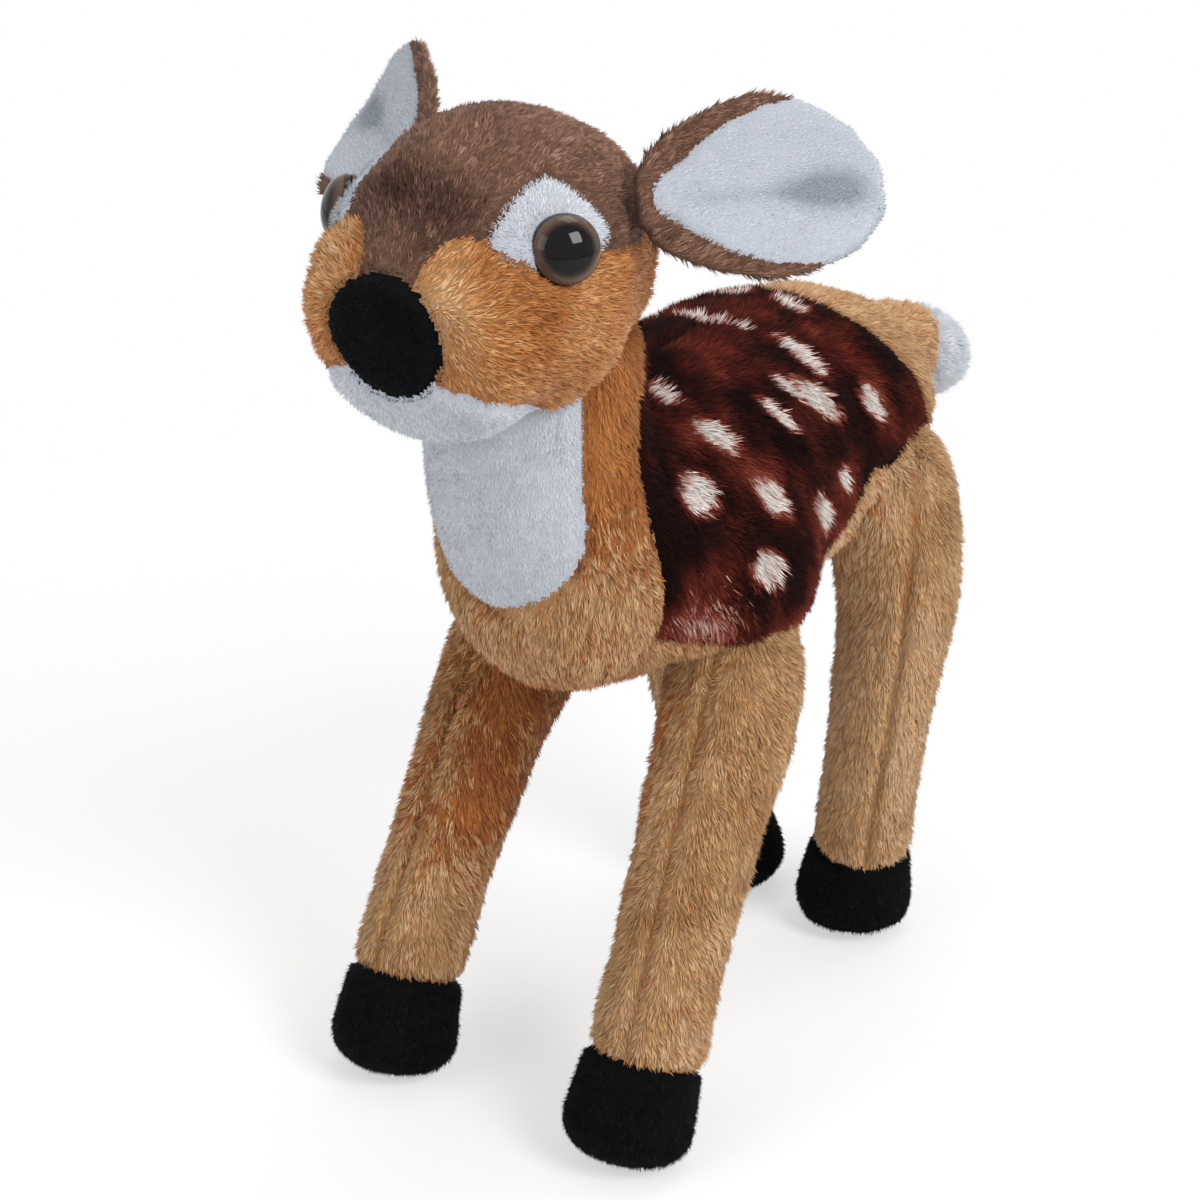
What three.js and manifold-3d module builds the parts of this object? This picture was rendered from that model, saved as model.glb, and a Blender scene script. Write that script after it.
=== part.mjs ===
// A standing fawn soft toy: plush panels sewn over fibre stuffing, with moulded plastic eyes.
// It faces -Y, its left side is +X, it stands on the plane Z = 0, and lengths are in millimetres.
import * as THREE from 'three';
import { ConvexGeometry } from 'three/addons/geometries/ConvexGeometry.js';
import { mergeVertices } from 'three/addons/utils/BufferGeometryUtils.js';
import Module from 'manifold-3d';

// Fabric, and the clearances between pieces
const fabric = 2;
const seamGap = 0.3;
const layerGap = 0.3;
const hingeGap = 0.6;
const overrun = 400;

// Trunk: an egg along Y, with a shoulder bulge on either side over the front legs
const trunkRear = 102;
const trunkFront = -87;
const trunkHalfWidth = 43;
const trunkHalfHeight = 41;
const trunkAxisHeight = 160;
const rumpDome = 22;
const chestDome = 36;
const shoulderX = 27;
const shoulderBack = 68;
const shoulderDrop = 17;
const shoulderHalfWidth = 25;
const shoulderHalfLength = 32;
const shoulderHalfHeight = 28;

// Neck: a round column out of the chest, on whose top the head turns
const neckBack = 21;
const neckRadius = 28.5;
const neckFootDrop = 12;
const neckFootShift = 20;
const neckRise = 54;
const neckDome = 16;
const neckLineRise = 8;

// Throat bib: a long white tongue down the front of the neck
const bibHalfWidth = 24;
const bibTipDrop = 12;

// Head: an egg along Y that narrows to a blunt muzzle
const headBehindNeck = 28;
const headLength = 89;
const headHalfWidth = 36.5;
const headHalfHeight = 36;
const headRise = 22;
const napeDome = 20;
const muzzleDome = 12;

// Nose disc, on the end of the muzzle
const noseHalfWidth = 16.2;
const noseHalfHeight = 14.6;
const noseDrop = 7.2;
const noseDepth = 18;

// Eyes: a moulded dome, a painted back on a shank, and the washer that locks it behind the patch
const eyeX = 31.5;
const eyeBack = 30;
const eyeRise = 12;
const eyeTurn = 47;
const eyeLift = 14;
const eyeRadius = 8.2;
const eyeDome = 5.2;
const eyeBackThickness = 1.2;
const shankRadius = 2;
const shankLength = 9;
const washerRadius = 6;
const washerThickness = 1.6;
const washerDepth = 2.4;
const patchHalfLength = 16;
const patchAbove = 14.5;
const patchBelow = 8.5;
const patchPoint = 1.4;
const patchRise = 2.5;
const patchForward = 2.5;
const patchDepth = 14;

// Ears: a cupped leaf of two layers with a rolled root
const earRootX = 34.5;
const earFromNape = 31;
const earRise = 18;
const earLength = 57;
const earHalfWidth = 22;
const earBackTurn = 41;
const earLift = 1;
const earRoll = 35;
const earBackThickness = 3.4;
const earLiningThickness = 2;
const earCup = 7;
const earRim = 0.4;
const earRollRadius = 3.2;
const earRollHalfLength = 7;
const earSwing = 15;

// Front legs: a stuffed tube that slants forward from a hip under the shoulder
const frontHipX = 30;
const frontHipBack = 70;
const frontHipDrop = 30;
const frontHipHalfWidth = 15;
const frontHipRadius = 20;
const frontThighRadius = 19.6;
const frontKneeRadius = 17;
const frontFetlockRadius = 15.4;
const frontSeamTurn = 6;

// Hind legs: upright, with a broad thigh
const hindHipX = 31;
const hindHipBack = 147;
const hindHipDrop = 20;
const hindHipHalfWidth = 18.5;
const hindHipRadius = 25;
const hindThighRadius = 18.5;
const hindKneeRadius = 15.8;
const hindFetlockRadius = 14.6;
const hindSeamTurn = 39;

// Hooves
const hoofRadius = 18.2;
const hoofHeight = 29;
const hoofDome = 9;
const soleFlat = 0.5;
const legSwing = 8;

// Tail: a stuffed drop that stands out from the rump, tan over its root and white at its tip and below
const tailRootInset = 6;
const tailRise = 12;
const tailBack = 44.85;
const tailDrop = 16;
const tailHalfWidth = 17;
const tailHalfThickness = 14.5;
const tailRootRadius = 7;
const tailTipDome = 9;
const tailTopHalfWidth = 20;
const tailTopWrap = 6;
const tailSwing = 15;

// Where the pieces meet, from the sizes above
const neckY = trunkFront + neckBack;
const neckTopHeight = trunkAxisHeight + neckRise;
const neckFootHeight = trunkAxisHeight - neckFootDrop;
const headRear = neckY + headBehindNeck;
const headFront = headRear - headLength;
const headAxisHeight = neckTopHeight + headRise;
const tailRoot = [0, trunkRear - tailRootInset, trunkAxisHeight + tailRise];
const tailTip = [0, tailRoot[1] + tailBack, tailRoot[2] - tailDrop];

// A leg's thigh, knee, fetlock and sole: how far down, out and back from the hip, as shares of its height
const frontLegShares = [
  [0.165, 0.041, -0.082], [0.362, 0.058, -0.214], [0.774, 0.078, -0.436], [1, 0.074, -0.531]];
const hindLegShares = [
  [0.183, 0.03, 0.008], [0.38, 0.027, -0.023], [0.791, -0.034, 0.008], [1, -0.068, 0.03]];
function legPlan(name, hip, shares, hipHalfWidth, radii, seamTurn) {
  const height = hip[2] + soleFlat - hoofDome;
  const places = shares.map(([down, out, back]) => [
    hip[0] + out * height, hip[1] + back * height, hip[2] - down * height]);
  return { name, hip, places, hipHalfWidth, radii, seamTurn };
}
const frontLeg = legPlan(
  'front', [frontHipX, trunkFront + frontHipBack, trunkAxisHeight - frontHipDrop], frontLegShares,
  frontHipHalfWidth, [frontHipRadius, frontThighRadius, frontKneeRadius, frontFetlockRadius], frontSeamTurn);
const hindLeg = legPlan(
  'hind', [hindHipX, trunkFront + hindHipBack, trunkAxisHeight - hindHipDrop], hindLegShares,
  hindHipHalfWidth, [hindHipRadius, hindThighRadius, hindKneeRadius, hindFetlockRadius], hindSeamTurn);

// Panel outlines in side view, as shares of the trunk's or the head's half length and half height
const saddleShares = [
  [0.775, -0.27], [0.755, 0], [0.66, 0.37], [0.52, 0.73], [0.4, 1], [0.3, 1.6], [-0.6, 1.6],
  [-0.68, 0.9], [-0.72, 0.6], [-0.7, 0.2], [-0.68, -0.2], [-0.66, -0.6], [-0.3, -0.8],
  [-0.04, -0.93], [0.18, -0.4], [0.3, -0.04], [0.55, -0.2],
];
const chestSeamShare = -0.66;
const rumpSeamShare = 0.55;
const crownShares = [
  [-1.4, 0.2], [-0.93, 0.2], [-0.84, 0.29], [-0.76, 0.39], [-0.62, 0.47], [-0.2, 0.28], [0.3, 0.2],
  [1.4, 0.2], [1.4, 1.6], [-1.4, 1.6],
];
// The bridge of the nose in plan, as shares of the nose's half width and the head's half length
const bridgeShares = [[-0.5, -1.2], [0.5, -1.2], [0.5, -0.9], [1.5, -0.55], [-1.5, -0.55], [-0.5, -0.9]];
const jawShares = [
  [-1.4, -0.38], [-1.4, -1.6], [1.4, -1.6], [1.4, -1.12], [0.5, -1.06], [0.05, -0.97], [-0.34, -0.75],
  [-0.77, -0.54], [-0.95, -0.42],
];

// Facets round and along each form; the inside of a skin has fewer
const counts = {
  trunk: { outsideSides: 20, insideSides: 14, alongSteps: 8 },
  neck: { outsideSides: 20, insideSides: 12, alongSteps: 4 },
  head: { outsideSides: 20, insideSides: 14, alongSteps: 7 },
  leg: { outsideSides: 12, insideSides: 8, alongSteps: 6 },
  tail: { outsideSides: 10, insideSides: 8, alongSteps: 4 },
  domeSteps: 3,
  shoulderSides: 10,
  bibSteps: 10,
  patchSides: 16,
  noseSides: 20,
  eyeSides: 12,
  earAcrossSteps: 6,
  earRollSides: 8,
};

const wasm = await Module();
wasm.setup();

const upward = new THREE.Vector3(0, 0, 1);
const leftward = new THREE.Vector3(1, 0, 0);
const forward = new THREE.Vector3(0, -1, 0);
const plush = color => ({ color, roughness: 0.95, metalness: 0 });
const finishes = {
  tan: plush('#c08c58'),
  cheek: plush('#bf8040'),
  crown: plush('#6e5244'),
  saddle: plush('#5a241c'),
  white: plush('#dde3ea'),
  black: plush('#121315'),
  fibre: plush('#efece4'),
  eyeClear: { color: '#2a1208', roughness: 0.05, metalness: 0 },
  eyePaint: { color: '#1a0c06', roughness: 0.3, metalness: 0 },
  washer: { color: '#e8e8e2', roughness: 0.5, metalness: 0 },
};

// A closed triangle geometry as a solid
function solidOf(geometry) {
  const bare = geometry.index ? geometry.toNonIndexed() : geometry.clone();
  bare.deleteAttribute('normal');
  bare.deleteAttribute('uv');
  const whole = mergeVertices(bare);
  const { array, itemSize } = whole.attributes.position;
  const vertProperties = new Float32Array(array);
  const triVerts = new Uint32Array(whole.index.array);
  return new wasm.Manifold(new wasm.Mesh({ numProp: itemSize, vertProperties, triVerts }));
}

function geometryOf(solid) {
  const { vertProperties, triVerts, numProp } = solid.getMesh();
  const positions = new Float32Array(vertProperties.length / numProp * 3);
  for (let k = 0; k < positions.length / 3; k += 1) {
    positions.set(vertProperties.subarray(k * numProp, k * numProp + 3), k * 3);
  }
  const geometry = new THREE.BufferGeometry();
  geometry.setAttribute('position', new THREE.BufferAttribute(positions, 3));
  geometry.setIndex([...triVerts]);
  geometry.computeVertexNormals();
  return geometry;
}

// A geometry carried to its place by a matrix, as a solid; a mirroring matrix turns its faces over
function placed(geometry, matrix) {
  const moved = geometry.clone().applyMatrix4(matrix);
  if (matrix.determinant() < 0) {
    const index = moved.index.array;
    for (let k = 0; k < index.length; k += 3) [index[k], index[k + 1]] = [index[k + 1], index[k]];
  }
  return solidOf(moved);
}

const mirror = new THREE.Matrix4().makeScale(-1, 1, 1);
const mirrored = solid => placed(geometryOf(solid), mirror);

// A turn by some degrees about an axis through a point
function swingAbout(point, axis, degrees) {
  const centre = new THREE.Vector3(...point);
  return new THREE.Matrix4().makeTranslation(centre)
    .multiply(new THREE.Matrix4().makeRotationAxis(axis, THREE.MathUtils.degToRad(degrees)))
    .multiply(new THREE.Matrix4().makeTranslation(centre.clone().negate()));
}

// A stuffed form: sections along a bent centre line, each with its half width, front and back depth, and
// a dome at either end. A section's front is where the line's direction crossed with +X points.
function stuffed({ stations, facets, startDome, endDome }, inset = 0) {
  const along = facets.alongSteps;
  const around = inset > 0 ? facets.insideSides : facets.outsideSides;
  const through = points => new THREE.CatmullRomCurve3(points, false, 'catmullrom');
  const spine = through(stations.map(s => new THREE.Vector3(...s.at)));
  const girth = through(stations.map(s => new THREE.Vector3(s.wide, s.front, s.back)));
  const rings = [];
  for (let k = counts.domeSteps - 1; k > 0; k -= 1) {
    const turn = k / counts.domeSteps * Math.PI / 2;
    rings.push({ t: 0, shift: (inset - startDome) * Math.sin(turn), shrink: Math.cos(turn) });
  }
  for (let k = 0; k <= along; k += 1) rings.push({ t: k / along, shift: 0, shrink: 1 });
  for (let k = 1; k < counts.domeSteps; k += 1) {
    const turn = k / counts.domeSteps * Math.PI / 2;
    rings.push({ t: 1, shift: (endDome - inset) * Math.sin(turn), shrink: Math.cos(turn) });
  }
  const points = [];
  for (const { t, shift, shrink } of rings) {
    const tangent = spine.getTangent(t);
    const side = leftward.clone().addScaledVector(tangent, -tangent.dot(leftward)).normalize();
    const front = new THREE.Vector3().crossVectors(tangent, side);
    const size = girth.getPoint(t);
    const centre = spine.getPoint(t).addScaledVector(tangent, shift);
    for (let j = 0; j < around; j += 1) {
      const turn = j / around * Math.PI * 2;
      const depth = Math.cos(turn) > 0 ? size.y : size.z;
      points.push(centre.clone()
        .addScaledVector(side, Math.sin(turn) * (size.x - inset) * shrink)
        .addScaledVector(front, Math.cos(turn) * (depth - inset) * shrink));
    }
  }
  const startPole = points.length;
  points.push(spine.getPoint(0).addScaledVector(spine.getTangent(0), inset - startDome));
  points.push(spine.getPoint(1).addScaledVector(spine.getTangent(1), endDome - inset));
  const faces = [];
  for (let i = 0; i + 1 < rings.length; i += 1) {
    for (let j = 0; j < around; j += 1) {
      const a = i * around + j;
      const b = i * around + (j + 1) % around;
      faces.push(a, a + around, b, b, a + around, b + around);
    }
  }
  const lastRing = (rings.length - 1) * around;
  for (let j = 0; j < around; j += 1) {
    const next = (j + 1) % around;
    faces.push(startPole, j, next);
    faces.push(startPole + 1, lastRing + next, lastRing + j);
  }
  const geometry = new THREE.BufferGeometry().setFromPoints(points);
  geometry.setIndex(faces);
  return geometry;
}

// An outline moved outward by an amount, or inward by a negative one, for seams; its points go anticlockwise
function grown(outline, amount) {
  return outline.map((point, k) => {
    const before = outline[(k + outline.length - 1) % outline.length];
    const after = outline[(k + 1) % outline.length];
    const normalOf = (p, q) => new THREE.Vector2(q.y - p.y, p.x - q.x).normalize();
    const first = normalOf(before, point);
    const second = normalOf(point, after);
    const sum = first.clone().add(second);
    return point.clone().addScaledVector(sum, 2 * amount / sum.lengthSq());
  });
}

// A prism on an outline in a plane, reaching some way to either side of it
function prism(outline, { origin, across, up }, from, to) {
  const normal = new THREE.Vector3().crossVectors(across, up);
  const shape = new THREE.Shape(outline);
  const geometry = new THREE.ExtrudeGeometry(shape, { depth: to - from, bevelEnabled: false });
  geometry.translate(0, 0, from);
  const basis = new THREE.Matrix4().makeBasis(across, up, normal).setPosition(origin);
  return placed(geometry, basis);
}

const sidePlane = { origin: new THREE.Vector3(), across: new THREE.Vector3(0, 1, 0), up: upward };
const frontPlane = { origin: new THREE.Vector3(), across: leftward, up: upward };
const sidePrism = (outline, amount) => prism(grown(outline, amount), sidePlane, -overrun, overrun);

// Everything on one side of a plane
function halfSpace(point, normal, clearance) {
  const box = new THREE.BoxGeometry(2 * overrun, 2 * overrun, overrun);
  const turn = new THREE.Quaternion().setFromUnitVectors(upward, normal);
  const centre = point.clone().addScaledVector(normal, overrun / 2 + clearance);
  return placed(box, new THREE.Matrix4().compose(centre, turn, new THREE.Vector3(1, 1, 1)));
}

const root = new THREE.Group();

// A body's group stands at its joint, and its pieces are placed about that point
function bodyAt(point, parent, parentPoint = [0, 0, 0]) {
  const group = new THREE.Group();
  group.position.set(point[0] - parentPoint[0], point[1] - parentPoint[1], point[2] - parentPoint[2]);
  group.userData.point = point;
  parent.add(group);
  return group;
}

function addPiece(body, name, solid, finish) {
  const geometry = geometryOf(solid);
  const [x, y, z] = body.userData.point;
  geometry.translate(-x, -y, -z);
  const piece = new THREE.Mesh(geometry, new THREE.MeshStandardMaterial(finish));
  piece.name = name;
  body.add(piece);
}

// Everything that some solids fill together
const together = solids => solids.reduce((sum, solid) => sum.add(solid));

// What a solid fills as it swings both ways about a line
function swept(solid, point, axis, degrees) {
  const geometry = geometryOf(solid);
  return together([-degrees, 0, degrees].map(turn => placed(geometry, swingAbout(point, axis, turn))));
}

function stationsAlong(shares, middle, reach, axisHeight, halfWidth, halfHeight) {
  return shares.map(([along, rise, wide, up, down]) => ({
    at: [0, middle + along * reach, axisHeight + rise * halfHeight],
    wide: wide * halfWidth,
    front: up * halfHeight,
    back: down * halfHeight,
  }));
}

// Trunk and neck forms
const trunkMiddle = (trunkRear - rumpDome + trunkFront + chestDome) / 2;
const trunkReach = (trunkRear - rumpDome - trunkFront - chestDome) / 2;
const trunkHalfLength = (trunkRear - trunkFront) / 2;
const trunkCentreY = (trunkRear + trunkFront) / 2;
const trunkShares = [
  [1, 0.02, 0.78, 0.76, 0.82],
  [0.6, 0.02, 0.94, 0.95, 0.98],
  [0.1, 0, 1, 1, 1],
  [-0.45, -0.06, 1, 0.98, 1.08],
  [-1, -0.14, 0.84, 0.84, 0.98],
];
const trunkForm = {
  stations: stationsAlong(
    trunkShares, trunkMiddle, trunkReach, trunkAxisHeight, trunkHalfWidth, trunkHalfHeight),
  facets: counts.trunk,
  startDome: rumpDome,
  endDome: chestDome,
};
const neckShares = [[0, 0, 1], [0.35, 0, 1], [0.65, 0.3, 1.1], [1, 1, 1.2]];
const neckForm = {
  stations: neckShares.map(([down, shift, girth]) => ({
    at: [0, neckY + shift * neckFootShift, neckTopHeight + down * (neckFootHeight - neckTopHeight)],
    wide: girth * neckRadius,
    front: girth * neckRadius,
    back: girth * neckRadius,
  })),
  facets: counts.neck,
  startDome: neckDome,
  endDome: neckDome,
};
function shoulder(inset) {
  const geometry = new THREE.SphereGeometry(1, counts.shoulderSides, counts.shoulderSides / 2);
  const size = new THREE.Vector3(shoulderHalfWidth, shoulderHalfLength, shoulderHalfHeight).subScalar(inset);
  const centre = new THREE.Vector3(shoulderX, trunkFront + shoulderBack, trunkAxisHeight - shoulderDrop);
  return placed(geometry, new THREE.Matrix4().compose(centre, new THREE.Quaternion(), size));
}
function bodyForm(inset) {
  const side = shoulder(inset);
  return together([
    solidOf(stuffed(trunkForm, inset)), solidOf(stuffed(neckForm, inset)), side, mirrored(side)]);
}

// Head form
const headMiddle = (headRear - napeDome + headFront + muzzleDome) / 2;
const headReach = (headRear - napeDome - headFront - muzzleDome) / 2;
const headHalfLength = (headRear - headFront) / 2;
const headCentreY = (headRear + headFront) / 2;
const headShares = [
  [1, 0.04, 0.8, 0.86, 1.02],
  [0.3, 0.04, 1, 1.04, 1.22],
  [-0.4, 0, 0.98, 0.86, 1.05],
  [-1, -0.17, 0.86, 0.47, 0.92],
];
const headForm = {
  stations: stationsAlong(headShares, headMiddle, headReach, headAxisHeight, headHalfWidth, headHalfHeight),
  facets: counts.head,
  startDome: napeDome,
  endDome: muzzleDome,
};

// Leg forms: the hip dome is round about the hinge line, and the sole's dome reaches just below the floor
function legForm({ hip, places, hipHalfWidth, radii }) {
  const station = (at, wide, deep) => ({ at, wide, front: deep, back: deep });
  const [hipRadius, ...shankRadii] = radii;
  return {
    stations: [
      station(hip, hipHalfWidth, hipRadius),
      ...[...shankRadii, hoofRadius].map((radius, k) => station(places[k], radius, radius)),
    ],
    facets: counts.leg,
    startDome: hipRadius,
    endDome: hoofDome,
  };
}

// Tail form
const tailLine = new THREE.Vector3(...tailTip).sub(new THREE.Vector3(...tailRoot));
const tailShares = [[0, 0.5, 0.78], [0.3, 0.86, 0.95], [0.7, 1, 1], [1, 0.76, 0.8]];
const tailForm = {
  stations: tailShares.map(([along, wide, thick]) => ({
    at: new THREE.Vector3(...tailRoot).addScaledVector(tailLine, along).toArray(),
    wide: wide * tailHalfWidth,
    front: thick * tailHalfThickness,
    back: thick * tailHalfThickness,
  })),
  facets: counts.tail,
  startDome: tailRootRadius,
  endDome: tailTipDome,
};

// Sockets that the trunk leaves for what swings in it: a hull round the part of a limb near its root
function socket(form, point, near, degrees) {
  const grownForm = stuffed(form, -hingeGap);
  const centre = new THREE.Vector3(...point);
  const places = grownForm.attributes.position;
  const rim = [];
  for (let k = 0; k < places.count; k += 1) {
    const place = new THREE.Vector3().fromBufferAttribute(places, k);
    if (place.distanceTo(centre) > near) continue;
    for (const turn of [-degrees, degrees]) {
      const swung = place.clone().applyMatrix4(swingAbout(point, leftward, turn));
      if (rim.every(other => other.distanceTo(swung) > layerGap)) rim.push(swung);
    }
  }
  return solidOf(new ConvexGeometry(rim));
}
const legSockets = together([frontLeg, hindLeg].map(leg => {
  const left = socket(legForm(leg), leg.hip, leg.radii[0] + leg.radii[1], legSwing);
  return left.add(mirrored(left));
}));
const tailSocket = socket(tailForm, tailRoot, 2 * tailHalfWidth, tailSwing);
const bodySockets = legSockets.add(tailSocket);

// Trunk pieces
const trunk = bodyAt([0, 0, 0], root);
const inside = fabric + layerGap;
const bodySkin = bodyForm(0).subtract(bodyForm(fabric)).subtract(bodySockets);
const neckLine = new THREE.Vector3(0, 0, neckTopHeight + neckLineRise);
const neckEnd = solidOf(stuffed(neckForm, 0))
  .intersect(halfSpace(neckLine, upward, 0));
const bodyStuffing = bodyForm(inside).subtract(bodySockets).add(neckEnd);
const belowNeckLine = halfSpace(neckLine, upward.clone().negate(), layerGap);
const openSkin = bodySkin.intersect(belowNeckLine);

const onTrunk = ([y, z]) => new THREE.Vector2(
  trunkCentreY + y * trunkHalfLength, trunkAxisHeight + z * trunkHalfHeight);
const anticlockwise = points => THREE.ShapeUtils.isClockWise(points) ? [...points].reverse() : points;
const saddleOutline = anticlockwise(saddleShares.map(onTrunk));
const saddles = openSkin.intersect(sidePrism(saddleOutline, -seamGap / 2));
const leftHalf = halfSpace(new THREE.Vector3(), leftward, seamGap / 2);
const rightHalf = halfSpace(new THREE.Vector3(), leftward.clone().negate(), seamGap / 2);
const plain = openSkin.subtract(sidePrism(saddleOutline, seamGap / 2));

const chestSeamY = trunkCentreY + chestSeamShare * trunkHalfLength;
const rumpSeamY = trunkCentreY + rumpSeamShare * trunkHalfLength;
const chestOutline = anticlockwise([
  [-overrun, -overrun], [chestSeamY, -overrun], [chestSeamY, trunkAxisHeight],
  [0, trunkAxisHeight], [0, overrun], [-overrun, overrun],
].map(([y, z]) => new THREE.Vector2(y, z)));
const chest = plain.intersect(sidePrism(chestOutline, -seamGap / 2));
const bibTipHeight = trunkAxisHeight - bibTipDrop;
const bibOutline = [];
for (let k = 0; k <= counts.bibSteps; k += 1) {
  const turn = Math.PI * (1 + k / counts.bibSteps);
  bibOutline.push(new THREE.Vector2(
    Math.cos(turn) * bibHalfWidth, bibTipHeight + bibHalfWidth * (1 + Math.sin(turn))));
}
bibOutline.push(new THREE.Vector2(bibHalfWidth, overrun), new THREE.Vector2(-bibHalfWidth, overrun));
const bibPrism = amount => prism(grown(bibOutline, amount), frontPlane, -neckY, overrun);
const behind = plain.subtract(sidePrism(chestOutline, seamGap / 2));
const rumpOutline = anticlockwise([
  [overrun, -overrun], [rumpSeamY, -overrun], [rumpSeamY, trunkAxisHeight],
  [0, trunkAxisHeight], [0, overrun], [overrun, overrun],
].map(([y, z]) => new THREE.Vector2(y, z)));

addPiece(trunk, 'torso_stuffing', bodyStuffing, finishes.fibre);
addPiece(trunk, 'saddle_left', saddles.intersect(leftHalf), finishes.saddle);
addPiece(trunk, 'saddle_right', saddles.intersect(rightHalf), finishes.saddle);
addPiece(trunk, 'chest_panel', chest.subtract(bibPrism(seamGap / 2)), finishes.tan);
addPiece(trunk, 'throat_bib', chest.intersect(bibPrism(-seamGap / 2)), finishes.white);
addPiece(trunk, 'belly_panel', behind.subtract(sidePrism(rumpOutline, seamGap / 2)), finishes.tan);
addPiece(trunk, 'rump_panel', behind.intersect(sidePrism(rumpOutline, -seamGap / 2)), finishes.tan);

// Ears: a cupped leaf whose rolled root is the hinge
const earRoot = new THREE.Vector3(earRootX, headRear - earFromNape, headAxisHeight + earRise);
const earOut = new THREE.Vector3(1, 0, 0)
  .applyAxisAngle(leftward.clone().cross(upward).negate(), -THREE.MathUtils.degToRad(earLift))
  .applyAxisAngle(upward, THREE.MathUtils.degToRad(earBackTurn));
const earWide = new THREE.Vector3().crossVectors(upward, earOut).cross(earOut).negate().normalize()
  .applyAxisAngle(earOut, -THREE.MathUtils.degToRad(earRoll));
const earFace = new THREE.Vector3().crossVectors(earOut, earWide);
const earBackShares = [0.5, 0.75, 0.91, 1.01, 1.06, 1, 0.88, 0.68, 0.27];
const earLiningShares = [0.02, 0.28, 0.54, 0.73, 0.84, 0.87, 0.82, 0.66, 0.26];
function earLeaf(widthShares, length, from, to) {
  const across = counts.earAcrossSteps;
  const columns = widthShares.length;
  const points = [];
  for (const depth of [from, to]) {
    widthShares.forEach((share, i) => {
      for (let j = 0; j <= across; j += 1) {
        const v = 2 * j / across - 1;
        const half = share * earHalfWidth;
        points.push(earRoot.clone()
          .addScaledVector(earOut, i / (columns - 1) * length)
          .addScaledVector(earWide, v * half)
          .addScaledVector(earFace, earCup * (v * half / earHalfWidth) ** 2 + depth));
      }
    });
  }
  const sheet = points.length / 2;
  const row = across + 1;
  const faces = [];
  const quad = (a, b, c, d) => faces.push(a, b, c, a, c, d);
  for (let i = 0; i + 1 < columns; i += 1) {
    for (let j = 0; j < across; j += 1) {
      const a = i * row + j;
      quad(a + sheet, a + row + sheet, a + row + 1 + sheet, a + 1 + sheet);
      quad(a, a + 1, a + row + 1, a + row);
    }
    const low = i * row;
    const high = i * row + across;
    quad(low, low + row, low + row + sheet, low + sheet);
    quad(high + row, high, high + sheet, high + row + sheet);
  }
  for (let j = 0; j < across; j += 1) {
    const last = (columns - 1) * row + j;
    quad(j + 1, j, j + sheet, j + 1 + sheet);
    quad(last, last + 1, last + 1 + sheet, last + sheet);
  }
  const geometry = new THREE.BufferGeometry().setFromPoints(points);
  geometry.setIndex(faces);
  return solidOf(geometry);
}
function earRollForm(clearance) {
  const radius = earRollRadius + clearance;
  const geometry = new THREE.CylinderGeometry(
    radius, radius, 2 * (earRollHalfLength + clearance), counts.earRollSides);
  const turn = new THREE.Quaternion().setFromUnitVectors(new THREE.Vector3(0, 1, 0), earWide);
  return placed(geometry, new THREE.Matrix4().compose(earRoot, turn, new THREE.Vector3(1, 1, 1)));
}
const headOutside = solidOf(stuffed(headForm, 0));
const headForEars = swept(solidOf(stuffed(headForm, -hingeGap)), earRoot.toArray(), earWide, earSwing);
const earMiddle = (earLiningThickness - earBackThickness) / 2;
const earOuter = earLeaf(earBackShares, earLength, -earBackThickness - earMiddle, -earMiddle)
  .subtract(headForEars).add(earRollForm(0));
const earLining = earLeaf(
  earLiningShares, earLength - earRim, layerGap - earMiddle, earLiningThickness - earMiddle)
  .subtract(headForEars).subtract(earRollForm(layerGap));

// Head pieces
const headPoint = [0, neckY, neckTopHeight];
const head = bodyAt(headPoint, root);
const neckSocket = solidOf(stuffed(neckForm, -hingeGap));
const earSocketLeft = earRollForm(hingeGap);
const eyeDirection = forward.clone()
  .applyAxisAngle(leftward, -THREE.MathUtils.degToRad(eyeLift))
  .applyAxisAngle(upward, THREE.MathUtils.degToRad(eyeTurn));
const eyeSeat = new THREE.Vector3(eyeX, headFront + eyeBack, headAxisHeight + eyeRise);
const eyeTurned = new THREE.Quaternion().setFromUnitVectors(new THREE.Vector3(0, 1, 0), eyeDirection);
const eyePlace = new THREE.Matrix4().compose(eyeSeat, eyeTurned, new THREE.Vector3(1, 1, 1));
const eyeLathe = profile => placed(
  new THREE.LatheGeometry(profile.map(([x, y]) => new THREE.Vector2(x, y)), counts.eyeSides), eyePlace);
const domeShares = [[1, 0.3], [0.92, 0.58], [0.72, 0.82], [0.4, 0.96], [0, 1]];
const eyeClear = eyeLathe([
  [0, eyeBackThickness + layerGap], [eyeRadius, eyeBackThickness + layerGap],
  ...domeShares.map(([out, up]) => [out * eyeRadius, up * (eyeDome + eyeBackThickness)])]);
const eyePainted = eyeLathe([
  [0, -shankLength], [shankRadius, -shankLength], [shankRadius, 0],
  [eyeRadius, 0], [eyeRadius, eyeBackThickness], [0, eyeBackThickness]]);
const shankRoom = shankRadius + layerGap;
const washerBack = -washerDepth - washerThickness;
const washer = eyeLathe([
  [shankRoom, -washerDepth], [shankRoom, washerBack], [washerRadius, washerBack],
  [washerRadius, -washerDepth], [shankRoom, -washerDepth]]);
const eyePocket = eyeLathe([
  [0, -shankLength - layerGap], [shankRoom, -shankLength - layerGap], [shankRoom, -layerGap],
  [eyeRadius + layerGap, -layerGap], [eyeRadius + layerGap, overrun], [0, overrun]]);
const washerHole = front => eyeLathe([
  [0, washerBack - layerGap], [washerRadius + layerGap, washerBack - layerGap],
  [washerRadius + layerGap, front], [0, front]]);
const both = solid => solid.add(mirrored(solid));
const headCuts = neckSocket.add(both(earSocketLeft));
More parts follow.
